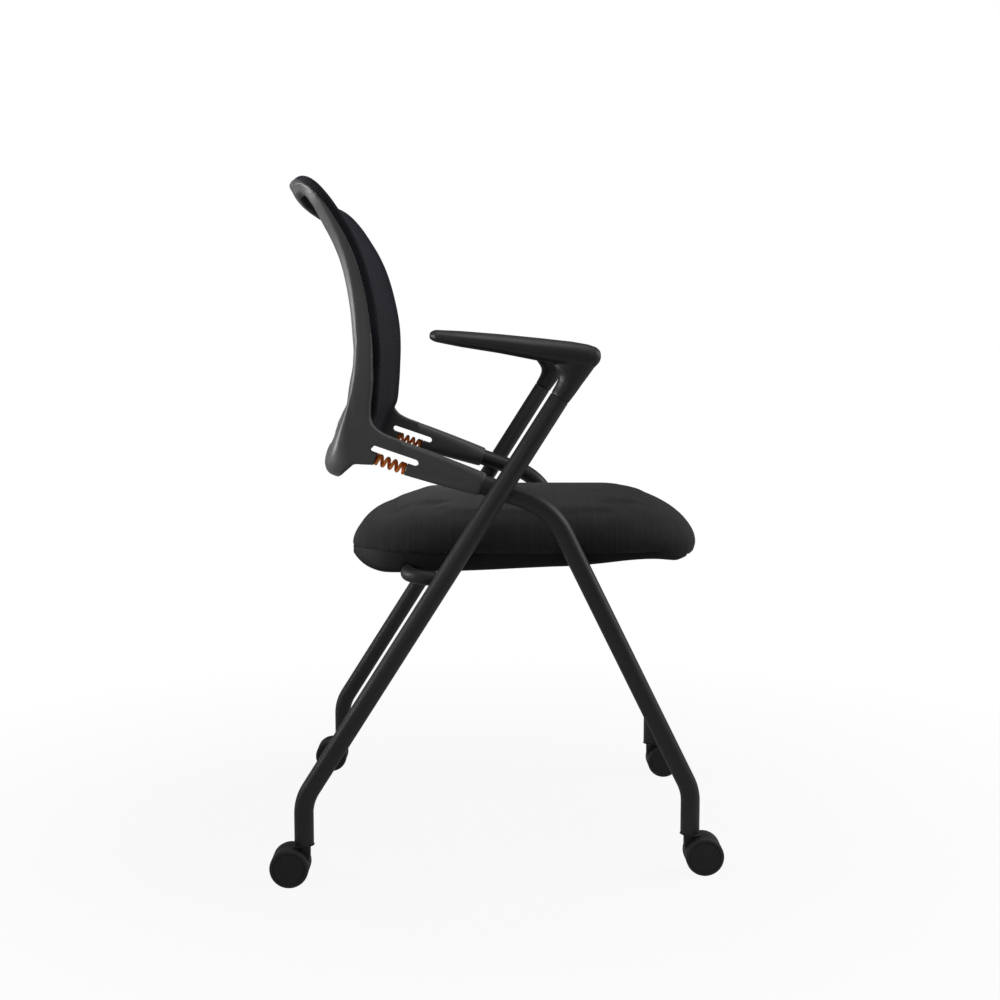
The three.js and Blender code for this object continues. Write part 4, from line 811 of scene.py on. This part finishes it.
def arm_ring(behind, over, under, half, squareness, side):
    x, z = arm_point(behind, (over - under) / 2)
    upwards = (sin(RISE), 0, cos(RISE))
    return soft_ring((x, side * ARM_HALF, z), (0, 1, 0), half, upwards, (over + under) / 2, 48, squareness)


def foot_across(z, out):
    """A place across the foot, from the arm's inner face to its outer one or, higher up, the ring's side."""
    up = np.interp(z, side_line[:, 1], side_steps)
    outer = ARM_HALF + ARM_SIDE
    outer += (back_half(up / BACK_LENGTH) - BREAK - outer) * smoothstep(z, 0.58, 0.64)
    return ARM_HALF - ARM_SIDE + (outer - ARM_HALF + ARM_SIDE) * out


def round_off(full, end, turn):
    """A place on a round edge from one outline to another, as turn goes from 0 to 1."""
    share = 1 - sqrt(1 - turn**2)
    return [a + (b - a) * share for a, b in zip(full, end)]


def foot_edge(full, face, out):
    """A place on the foot's rear edge, which is rounded closely higher up and widely at the toe."""
    radius = FOOT_ROUND + (RAIL_ROUND - FOOT_ROUND) * smoothstep(-full[1], -TOE[1], -TOE[0])
    inside = foot_across(full[1], 1) - foot_across(full[1], out)
    return round_off(full, face, min(max((radius - inside) / radius, 0), 1))


def lower_rail():
    """The rail under the knit, straight across the back, with wide rounded ends that run into the feet."""
    straight = ARM_HALF + ARM_SIDE - RAIL_ROUND
    turns = [sin(pi / 2 * i / 9) for i in range(9, 0, -1)]
    spots = [(-straight - RAIL_ROUND * turn, turn) for turn in turns]
    other_end = [(-across, turn) for across, turn in reversed(spots)]
    spots += [(straight * (i / 5 - 1), 0) for i in range(11)] + other_end
    rings = []
    for across, turn in spots:
        places = [round_off(full, end, turn) for full, end in zip(RAIL_MIDDLE, RAIL_END)]
        rings.append([(x, across, z) for x, z in places])
    return lofted("lower_rail", rings, "back_plastic")


shells = [back_ring(), lower_rail()]
for hand, side in HANDS:
    foot_rings = []
    for out in FOOT_OUT_SHARES:
        rear_edge = [foot_edge(full, face, out) for full, face in zip(FOOT_REAR, FOOT_FACE)]
        outline = [arm_point(FOOT_INTO_ARM, ARM_OVER), arm_point(FOOT_INTO_ARM, -ARM_UNDER)]
        outline += [arm_point(BAY_END, -ARM_UNDER), *reversed(rear_edge), *FOOT_FRONT]
        outline.append(arm_point(FOOT_FILL, FOOT_FILL_OVER))
        foot_rings.append([(x, side * foot_across(z, out), z) for x, z in outline])
    arm_rings = [arm_ring(-LIP, SOCKET - LIP, SOCKET - LIP, SOCKET - LIP, 2, side)]
    for share, grown in zip(*smooth_table(ARM_SHARES, ARM_GROWTH_SHARES, 24)):
        over, under, half = (SOCKET + (size - SOCKET) * grown for size in (ARM_OVER, ARM_UNDER, ARM_SIDE))
        arm_rings.append(arm_ring(BAY_START * share, over, under, half, 2 + 1.5 * grown, side))
    arm_rings.append(arm_ring(ARM_END, ARM_OVER, ARM_UNDER, ARM_SIDE, 4.5, side))
    shells.append(lofted(f"foot_{hand}", foot_rings, "back_plastic"))
    shells.append(lofted(f"arm_{hand}", arm_rings, "back_plastic"))
moulding = moulded(joined("back_moulding", shells), 0.0019)
for hand, side in HANDS:
    bay = [arm_point(BAY_START, BAY_OVER), arm_point(BAY_START, BAY_UNDER)]
    bay += [arm_point(BAY_END, BAY_UNDER), arm_point(BAY_END, BAY_OVER)]
    bore = [arm_ring(behind, *[TUBE + BORE_GAP] * 3, 2, side) for behind in (BORE_START, BORE_END)]
    cut(moulding, plate("slot_cutter", slot_outline(), side * ARM_HALF, CUT_HALF, "back_plastic"))
    cut(moulding, plate("bay_cutter", bay, side * ARM_HALF, CUT_HALF, "back_plastic"))
    cut(moulding, lofted("bore_cutter", bore, "back_plastic"))
by_angle(moulding, 30)
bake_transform(moulding)
arm_nodes = [f"back_arm_{part}_{hand}" for part in ("socket", "strip") for hand, _ in HANDS]
stand_for(moulding, "back_frame", *arm_nodes)

# Springs, each one wire with a flat closed turn at its ends
WIRE, COIL, SPRING_UNDER, SPRING_GAP, CLOSING = 0.0023, 0.0058, 0.0133, 0.0002, 0.00003
TURNS, TURN_STEPS, FLAT_TURN = 5, 40, 0.6
spring_rise = BAY_END - BAY_START - 2 * WIRE - 2 * SPRING_GAP
for hand, side in HANDS:
    line = []
    for step in range(TURNS * TURN_STEPS + 1):
        turn = step / TURN_STEPS
        rise = min(max((turn - FLAT_TURN) / (TURNS - 2 * FLAT_TURN), 0), 1) * spring_rise * 0.998
        angle = 2 * pi * turn * side
        behind = BAY_START + WIRE + SPRING_GAP + rise + CLOSING * turn
        x, z = arm_point(behind, -SPRING_UNDER + COIL * cos(angle))
        line.append(Vector((x, side * ARM_HALF + COIL * sin(angle), z)))
    tangents = [(after - before).normalized() for before, after in zip(line[:1] + line, line[1:] + line[-1:])]
    rings = swept(line, tangents, [WIRE] * len(line), 14, Vector((0, 1, 0)))
    spring = by_angle(lofted(f"spring_{hand}", rings, "spring_steel"), 60)
    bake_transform(spring)
    stand_for(spring, f"back_spring_{hand}")


# Knitted back: one sheet over the ring's front, sunk a little in its opening and wrapped round its edge
KNIT_INSET, KNIT_TOP_INSET, KNIT_LOW_HALF, LEAST_HALF = 0.001, 0.004, 0.2325, 0.02
NOSE, SIDE_ROLL, ROLL_SHIFT, RECESS = 0.0125, 0.0035, 0.004, 0.0045
GRID_HALF, BORDER, FINE_STEP, ROW_STEP, COLUMN_STEP = 0.25, 0.026, 0.0016, 0.005, 0.012
WRAP_DEPTHS = (0.001, 0.0025, 0.004, 0.006, 0.0083)
KNIT_THICK = 0.0011


def mesh_inset(up):
    return KNIT_INSET + KNIT_TOP_INSET * nose_share(up)


def mesh_half(up):
    share = up / BACK_LENGTH
    half = back_half(share) - KNIT_INSET
    beside = KNIT_LOW_HALF + (half - KNIT_LOW_HALF) * smoothstep(share, 0.33, 0.46)
    to_top, to_foot = BACK_LENGTH - up, up - FOOT_LIFT
    if to_top < CORNER_TOP:
        radius = CORNER_TOP - mesh_inset(up)
        return HALF_TOP - CORNER_TOP + sqrt(max(radius**2 - (CORNER_TOP - to_top) ** 2, 0))
    if to_foot < CORNER_FOOT:
        return beside - CORNER_FOOT + sqrt(max(CORNER_FOOT**2 - (CORNER_FOOT - to_foot) ** 2, 0))
    return beside


def edge_steps(length, coarse):
    """Steps from 0 to length, fine near both ends."""
    inner, fine = max(int((length - 2 * BORDER) / coarse), 1), int(BORDER / FINE_STEP)
    steps = [BORDER * i / fine for i in range(fine)]
    steps += [BORDER + (length - 2 * BORDER) * i / inner for i in range(inner + 1)]
    return steps + [length - BORDER * i / fine for i in range(fine - 1, -1, -1)]


def inside_by(up, across):
    """How far a place on the sheet is inside its outline, near enough."""
    to_top, beside = BACK_LENGTH - up, back_half(up / BACK_LENGTH) - abs(across)
    if to_top < CORNER_TOP and beside < CORNER_TOP:
        return max(CORNER_TOP - mesh_inset(up) - hypot(CORNER_TOP - to_top, CORNER_TOP - beside), 0)
    return max(min(mesh_half(up) - abs(across), up - FOOT_LIFT - KNIT_INSET, to_top - mesh_inset(up)), 0)


def rolled(up, way):
    """Depth of the sheet's outer face over its border: a small roll at the sides, the nose at the top."""
    nose = nose_share(up)
    radius, way = SIDE_ROLL + NOSE * nose, way + ROLL_SHIFT * nose
    return radius - sqrt(max(radius**2 - (radius - way) ** 2, 0)) if way < radius else 0


knit_height = BACK_LENGTH - FOOT_LIFT - 2 * KNIT_INSET - KNIT_TOP_INSET
ups = [FOOT_LIFT + KNIT_INSET + u for u in edge_steps(knit_height, ROW_STEP)]
template = np.array(edge_steps(2 * GRID_HALF, COLUMN_STEP)) - GRID_HALF
middle_half = GRID_HALF - BORDER
in_border = np.clip(np.abs(template) - middle_half, 0, None)
places, walked = [], []
for up in ups:
    half = max(mesh_half(up), LEAST_HALF)
    middle = np.abs(template) / middle_half * (half - BORDER)
    for across in np.sign(template) * np.where(in_border > 0, half - BORDER + in_border, middle):
        way = inside_by(up, across)
        sunk = smoothstep(way, 0.01, 0.036) * smoothstep(up, FOOT_LIFT + 0.006, FOOT_LIFT + 0.03)
        places.append(back_place(up, across, rolled(up, way) + RECESS * sunk))
        walked.append((across, up))
grid = np.arange(len(places)).reshape(len(ups), len(template))
corners = (grid[:-1, :-1], grid[:-1, 1:], grid[1:, 1:], grid[1:, :-1])
faces = np.stack(corners, axis=-1).reshape(-1, 4).tolist()
border = np.concatenate([grid[0], grid[1:, -1], grid[-1, -2::-1], grid[-2:0:-1, 0]]).tolist()
ring_before = border
for further in WRAP_DEPTHS:
    ring_here = range(len(places), len(places) + len(border))
    for across, up in [walked[index] for index in border]:
        depth = rolled(up, 0) + further * (1 - 0.8 * nose_share(up))
        places.append(back_place(up, across, depth))
        walked.append((across + copysign(depth, across), up))
    for k in range(len(border)):
        after = (k + 1) % len(border)
        faces.append((ring_before[k], ring_before[after], ring_here[after], ring_here[k]))
    ring_before = ring_here
panel = mesh_object("back_knit", places, faces, "back_knit")
layer = panel.data.uv_layers.new(name="knit")
for loop in panel.data.loops:
    across, up = walked[loop.vertex_index]
    layer.data[loop.index].uv = (across / UV_UNIT + 0.5, up / UV_UNIT)
modified(panel, "SOLIDIFY", thickness=KNIT_THICK, offset=-1)
finish_piece(panel, "back", "back_mesh")


# Seat cushion: a superellipse plan, its sides drawn in as they rise to a crowned top
MID_X, HALF_LENGTH, HALF_WIDTH, SQUARE = 0.036, 0.242, 0.228, 4.2
REAR_INSET, FRONT_INSET, SIDE_INSET = 0.112, 0.129, 0.046
RISES = (0, 0.06, 0.12, 0.2, 0.3, 0.4, 0.5, 0.6, 0.7, 0.8, 0.88, 0.94, 0.98, 1)
REAR_IN = (0, 0.002, 0.011, 0.036, 0.062, 0.107, 0.17, 0.248, 0.372, 0.57, 0.755, 0.882, 0.955, 1)
FRONT_IN = (0.063, 0.051, 0.033, 0.02, 0.023, 0.037, 0.078, 0.129, 0.233, 0.359, 0.485, 0.652, 0.847, 1)
SIDE_IN = (0.065, 0.043, 0.022, 0.01, 0, 0.015, 0.043, 0.085, 0.139, 0.217, 0.343, 0.5, 0.74, 1)
SEAM, SEAM_DROP, SEAM_DROP_START = 0.4185, 0.0125, 0.205
CROWN, CROWN_REAR_DROP, CROWN_SIDE_DROP = 0.4888, 0.006, 0.02
PAD_SHRINK, PAD_VOXEL, BASE, BASE_LIFT = 0.002, 0.0055, 0.4345, 0.004
BASE_SHARES, TOP_RINGS = (0.2, 0.5, 0.8, 0.95), 16
HELD_RIM, HELD_BASE, HELD_HALF, HELD_REAR, HELD_FRONT = 0.424, 0.437, 0.2, -0.17, 0.24
CLOTH_FRAMES, MOST_SWELL = 20, 0.0035


def seam_height(x):
    return SEAM - SEAM_DROP * smoothstep(x, SEAM_DROP_START, MID_X + HALF_LENGTH)


def crown_height(x, y):
    rear_drop = CROWN_REAR_DROP * (1 - smoothstep(x, MID_X - HALF_LENGTH, MID_X))
    return CROWN - rear_drop - CROWN_SIDE_DROP * (abs(y) / HALF_WIDTH) ** 2


def cushion_ring(rise, rear, front, side, count):
    ring = []
    for i in range(count):
        angle = 2 * pi * (i + 0.5) / count
        across = cos(angle)
        end = rear * REAR_INSET if across < 0 else front * FRONT_INSET
        inset = side * SIDE_INSET + (end - side * SIDE_INSET) * across**2 + PAD_SHRINK
        x = MID_X + (HALF_LENGTH - inset) * power(across, 2 / SQUARE)
        y = (HALF_WIDTH - inset) * power(sin(angle), 2 / SQUARE)
        seam = seam_height(x)
        ring.append(Vector((x, y, seam + (crown_height(x, y) - PAD_SHRINK - seam) * rise)))
    return ring


def cushion_shell(count, levels):
    tables = [smooth_table(RISES, table, levels) for table in (REAR_IN, FRONT_IN, SIDE_IN)]
    rings = [cushion_ring(*row, count) for row in zip(tables[0][0], *[values for _, values in tables])]
    first, last = rings[0], rings[-1]
    for step in range(1, TOP_RINGS):
        share = 1 - step / TOP_RINGS
        ring = [Vector((MID_X + (p.x - MID_X) * share, p.y * share, 0)) for p in last]
        for p in ring:
            p.z = crown_height(p.x, p.y) - PAD_SHRINK
        rings.append(ring)
    under = []
    for share in BASE_SHARES:
        under.append([Vector((MID_X + (p.x - MID_X) * share, p.y * share, p.z + BASE_LIFT)) for p in first])
        if share < 0.9:
            for p, edge in zip(under[-1], first):
                p.z = max(edge.z, BASE)
    return lofted("seat_pad", under + rings, "seat_fabric")


def read_places(mesh, name="co"):
    values = np.empty(len(mesh.vertices) * 3)
    mesh.vertices.foreach_get(name, values)
    return values.reshape(-1, 3)


def stuff(cushion):
    """Swells the cover as a cloth under pressure, held along its rim and base."""
    before = read_places(cushion.data)
    x, y, z = before.T
    base = (z < HELD_BASE) & (np.abs(y) < HELD_HALF) & (x > HELD_REAR) & (x < HELD_FRONT)
    held = cushion.vertex_groups.new(name="held")
    held.add(np.nonzero((z < HELD_RIM) | base)[0].tolist(), 1.0, "REPLACE")
    cloth = cushion.modifiers.new("stuffed", "CLOTH")
    for key, value in (
        ("quality", 6), ("mass", 0.3), ("tension_stiffness", 18), ("compression_stiffness", 18),
        ("bending_stiffness", 0.6), ("use_pressure", True), ("uniform_pressure_force", 4),
        ("vertex_group_mass", "held"),
    ):
        setattr(cloth.settings, key, value)
    cloth.settings.effector_weights.gravity = 0
    cloth.point_cache.frame_start, cloth.point_cache.frame_end = 1, CLOTH_FRAMES
    for step in range(1, CLOTH_FRAMES + 1):
        scene.frame_set(step)
    swollen = cushion.evaluated_get(bpy.context.evaluated_depsgraph_get()).to_mesh()
    normals = read_places(cushion.data, "normal")
    moved = np.sum((read_places(swollen) - before) * normals, axis=1, keepdims=True)
    swelled = before + normals * np.clip(moved, 0, MOST_SWELL)
    cushion.modifiers.clear()
    scene.frame_set(1)
    cushion.data.vertices.foreach_set("co", swelled.ravel())


cushion = cushion_shell(160, 40)
modified(cushion, "REMESH", mode="VOXEL", voxel_size=PAD_VOXEL)
stuff(cushion)
modified(cushion, "SMOOTH", factor=0.5, iterations=6)
smooth(modified(cushion, "SUBSURF", levels=1, render_levels=1))
finish_piece(cushion, "seat", "seat_cushion")

# Tray under the seat, with round grooves where it sits on the two crossbars
RIM, TRAY_DEPTH, TRAY_INSET, TRAY_ROUND, TRAY_SLOPE = 0.4235, 0.0251, 0.009, 0.009, 0.2
BEAD, BEAD_WIDTH, BEAD_RAMP, EDGE_ROUND = 0.0016, 0.012, 0.01, 0.0009
PIVOT_GAP, REST_GAP, GROOVE_UNDER, GROOVE_HALF = 0.0004, 0.0028, 0.04, 0.25
TRAY_SHARES = (
    0.022, 0.037, 0.05, 0.062, 0.085, 0.108, 0.131, 0.153, 0.2, 0.256, 0.383, 0.558, 0.636, 0.675, 0.725,
    0.757, 0.79, 0.823, 0.857, 0.892, 0.91, 0.928, 0.942,
)
TRAY_DEPTH_SHARES = (
    0.37, 0.62, 0.78, 0.89, 1.03, 1.11, 1.11, 1.09, 1.05, 1, 0.9, 0.74, 0.68, 0.61, 0.51, 0.44,
    0.39, 0.37, 0.4, 0.5, 0.55, 0.48, 0.4,
)
tray_rings = []
for share, depth_share in zip(*smooth_table(TRAY_SHARES, TRAY_DEPTH_SHARES, 90)):
    reach = 2 * share - 1
    half = HALF_WIDTH * (1 - abs(reach) ** SQUARE) ** (1 / SQUARE) - TRAY_INSET
    low = RIM - TRAY_DEPTH * depth_share
    corner = min(TRAY_ROUND, (RIM - low) / 2)
    inner = half - corner
    section = [(half, RIM), (half, low + corner - BEAD)]
    for angle in np.linspace(TRAY_SLOPE, pi / 2, 8):
        section.append((inner + corner * cos(angle), low - BEAD + corner - corner * sin(angle)))
    section += [(inner - BEAD_WIDTH - BEAD_RAMP * k, low - BEAD * (1 - k / 2)) for k in range(3)]
    floor_half = inner - BEAD_WIDTH - 2 * BEAD_RAMP
    other_side = [(-y, z) for y, z in reversed(section)]
    section += [(y, low) for y in np.linspace(floor_half, -floor_half, 12)[1:-1]] + other_side
    tray_rings.append([(MID_X + HALF_LENGTH * reach, y, z) for y, z in section])
tray = lofted("seat_tray", tray_rings, "shell_plastic")
for (x, z), gap in ((PIVOT, PIVOT_GAP), (REST_BAR, REST_GAP)):
    groove = arc((x, z), BAR + gap, 0, pi, 40)
    groove += [(x - BAR - gap, z - GROOVE_UNDER), (x + BAR + gap, z - GROOVE_UNDER)]
    cut(tray, plate("groove_cutter", groove, 0, GROOVE_HALF, "shell_plastic"))
finish_piece(rounded(tray, EDGE_ROUND, 2, 40), "seat", "seat_shell", 35)

# Pivot straps with their screws, and the rubber saddles on the front bar
STRAP_GAP, STRAP_THICK, STRAP_HALF, STRAP_REACH, STRAP_ROUND = 0.0006, 0.0035, 0.013, 0.028, 0.0006
STRAP_PLACE, TRAY_GAP, SCREW_REACH = 0.11, 0.0003, 0.021
SADDLE_GAP, SADDLE_THICK, SADDLE_HALF, SADDLE_ROUND = 0.0004, 0.002, 0.015, 0.0004
SADDLE_SPREAD = radians(60)
SCREW_HEAD = 0.0025
SCREW_PROFILE = (
    (0.0001, 0.0015), (0.0014, 0.0015), (0.0016, 0.0013), (0.0017, 0.0001), (0.003, 0.0001), (0.004, 0.0006),
    (0.0045, 0.0014), (0.0045, 0.0023), (0.0043, SCREW_HEAD), (0.002, SCREW_HEAD), (0.002, 0.0165),
    (0.0001, 0.0165),
)
strap_top = RIM - TRAY_DEPTH - TRAY_GAP
strap_low = strap_top - STRAP_THICK
inner, outer = BAR + STRAP_GAP, BAR + STRAP_GAP + STRAP_THICK
start, low_start = asin((strap_top - PIVOT[1]) / inner), asin((strap_low - PIVOT[1]) / outer)
strap_line = [(PIVOT[0] - STRAP_REACH, strap_top)] + arc(PIVOT, inner, pi - start, 2 * pi + start, 32)
strap_line += [(PIVOT[0] + STRAP_REACH, strap_top), (PIVOT[0] + STRAP_REACH, strap_low)]
strap_line += arc(PIVOT, outer, 2 * pi + low_start, pi - low_start, 32)
strap_line += [(PIVOT[0] - STRAP_REACH, strap_low)]
first, last = pi / 2 - SADDLE_SPREAD, pi / 2 + SADDLE_SPREAD
saddle_line = arc(REST_BAR, BAR + SADDLE_GAP, first, last, 24)
saddle_line += arc(REST_BAR, BAR + SADDLE_GAP + SADDLE_THICK, last, first, 24)
for hand, side in HANDS:
    y = side * STRAP_PLACE
    strap = plate(f"pivot_strap_{hand}", strap_line, y, STRAP_HALF, "shell_plastic")
    finish_piece(rounded(strap, STRAP_ROUND, 2, 50), "seat", f"seat_pivot_clamp_{hand}", 40)
    for end, sign in (("front", 1), ("rear", -1)):
        screw = turned(f"strap_screw_{hand}_{end}", SCREW_PROFILE, 36, "zinc")
        screw_place = (PIVOT[0] + sign * SCREW_REACH, y, strap_low - TRAY_GAP - SCREW_HEAD)
        screw.data.transform(Matrix.Translation(screw_place))
        finish_piece(screw, "seat", f"clamp_screw_{hand}_{end}", 35)
    saddle = plate(f"rest_saddle_{hand}", saddle_line, y, SADDLE_HALF, "rubber")
    finish_piece(rounded(saddle, SADDLE_ROUND, 2, 50), "seat", f"seat_rest_pad_{hand}", 40)


# Camera at the photograph's place
def aim(thing, place, heading):
    scene.collection.objects.link(thing)
    thing.location = place
    thing.rotation_mode = "QUATERNION"
    thing.rotation_quaternion = heading.to_track_quat("-Z", "Y")


CAMERA_PLACE, PITCH, YAW = (-0.01969, -2.14868, 0.68473), 0.09957, 0.01087
camera = bpy.data.objects.new("camera", bpy.data.cameras.new("camera"))
camera.data.sensor_width, camera.data.lens = 36, 54
camera.data.clip_start, camera.data.clip_end = 0.05, 60
heading = Vector((sin(YAW) * cos(PITCH), cos(YAW) * cos(PITCH), -sin(PITCH)))
aim(camera, CAMERA_PLACE, heading)
scene.camera = camera


# Light, floor and surround
def area_light(name, place, target, size, watts, spread=180):
    data = bpy.data.lights.new(name, "AREA")
    data.shape = "RECTANGLE"
    data.size, data.size_y = size
    data.energy, data.spread = watts, radians(spread)
    aim(bpy.data.objects.new(name, data), place, Vector(target) - Vector(place))


area_light("light_rear", (-2.4, -0.2, 0.95), (-0.2, 0, 0.76), (0.7, 0.6), 2.6, 30)
area_light("light_behind", (-2.2, 1.4, 0.9), (0, 0, 0.6), (1.2, 1.8), 2)
area_light("light_left", (-1.5, -0.5, 2.3), (0, 0, 0.5), (1.4, 1.6), 4)
area_light("light_front", (2.3, 0.1, 1.7), (0, 0, 0.45), (1, 1.4), 26)
area_light("light_top", (0.2, -0.3, 3), (0, 0, 0.5), (1.6, 1.6), 23)
area_light("light_camera", (-0.6, -3.4, 1.6), (0, 0, 0.5), (1.6, 1.2), 7)

SKY_LIGHT = 0.088
sky = Nodes(bpy.data.worlds.new("surround"))
sky.feed(sky.shader.inputs["Strength"], sky.spread(sky.seen(), 0, 1, SKY_LIGHT))
sky.feed(sky.shader.inputs["Color"], (1, 1, 1, 1))
scene.world = sky.owner

FLOOR_HALF = 12
ground = Nodes("floor")
ground.surface(ground.mix(ground.noise(60, 3), (0.6, 0.6, 0.6), (0.64, 0.64, 0.64)), 0.9)
near = ground.texture("Gradient", (0.8, 0.8, 0.8), gradient_type="SPHERICAL")["Fac"]
shown = ground.spread(near, 0.05, 0.65, 1, 0.92)
choose = ground.add("MixShader", Fac=ground.times(ground.seen(), shown))
for socket, node in zip(choose.inputs[1:], (ground.shader, ground.add("Emission"))):
    ground.feed(socket, node.outputs[0])
ground.feed(ground.tree.nodes["Material Output"].inputs["Surface"], choose.outputs[0])
floor_corners = [(x * FLOOR_HALF, y * FLOOR_HALF, 0) for x, y in ((-1, -1), (1, -1), (1, 1), (-1, 1))]
FINISHES["floor"] = ground.owner
floor = mesh_object("floor", floor_corners, [(0, 1, 2, 3)], "floor")

scene.view_settings.view_transform = "Standard"
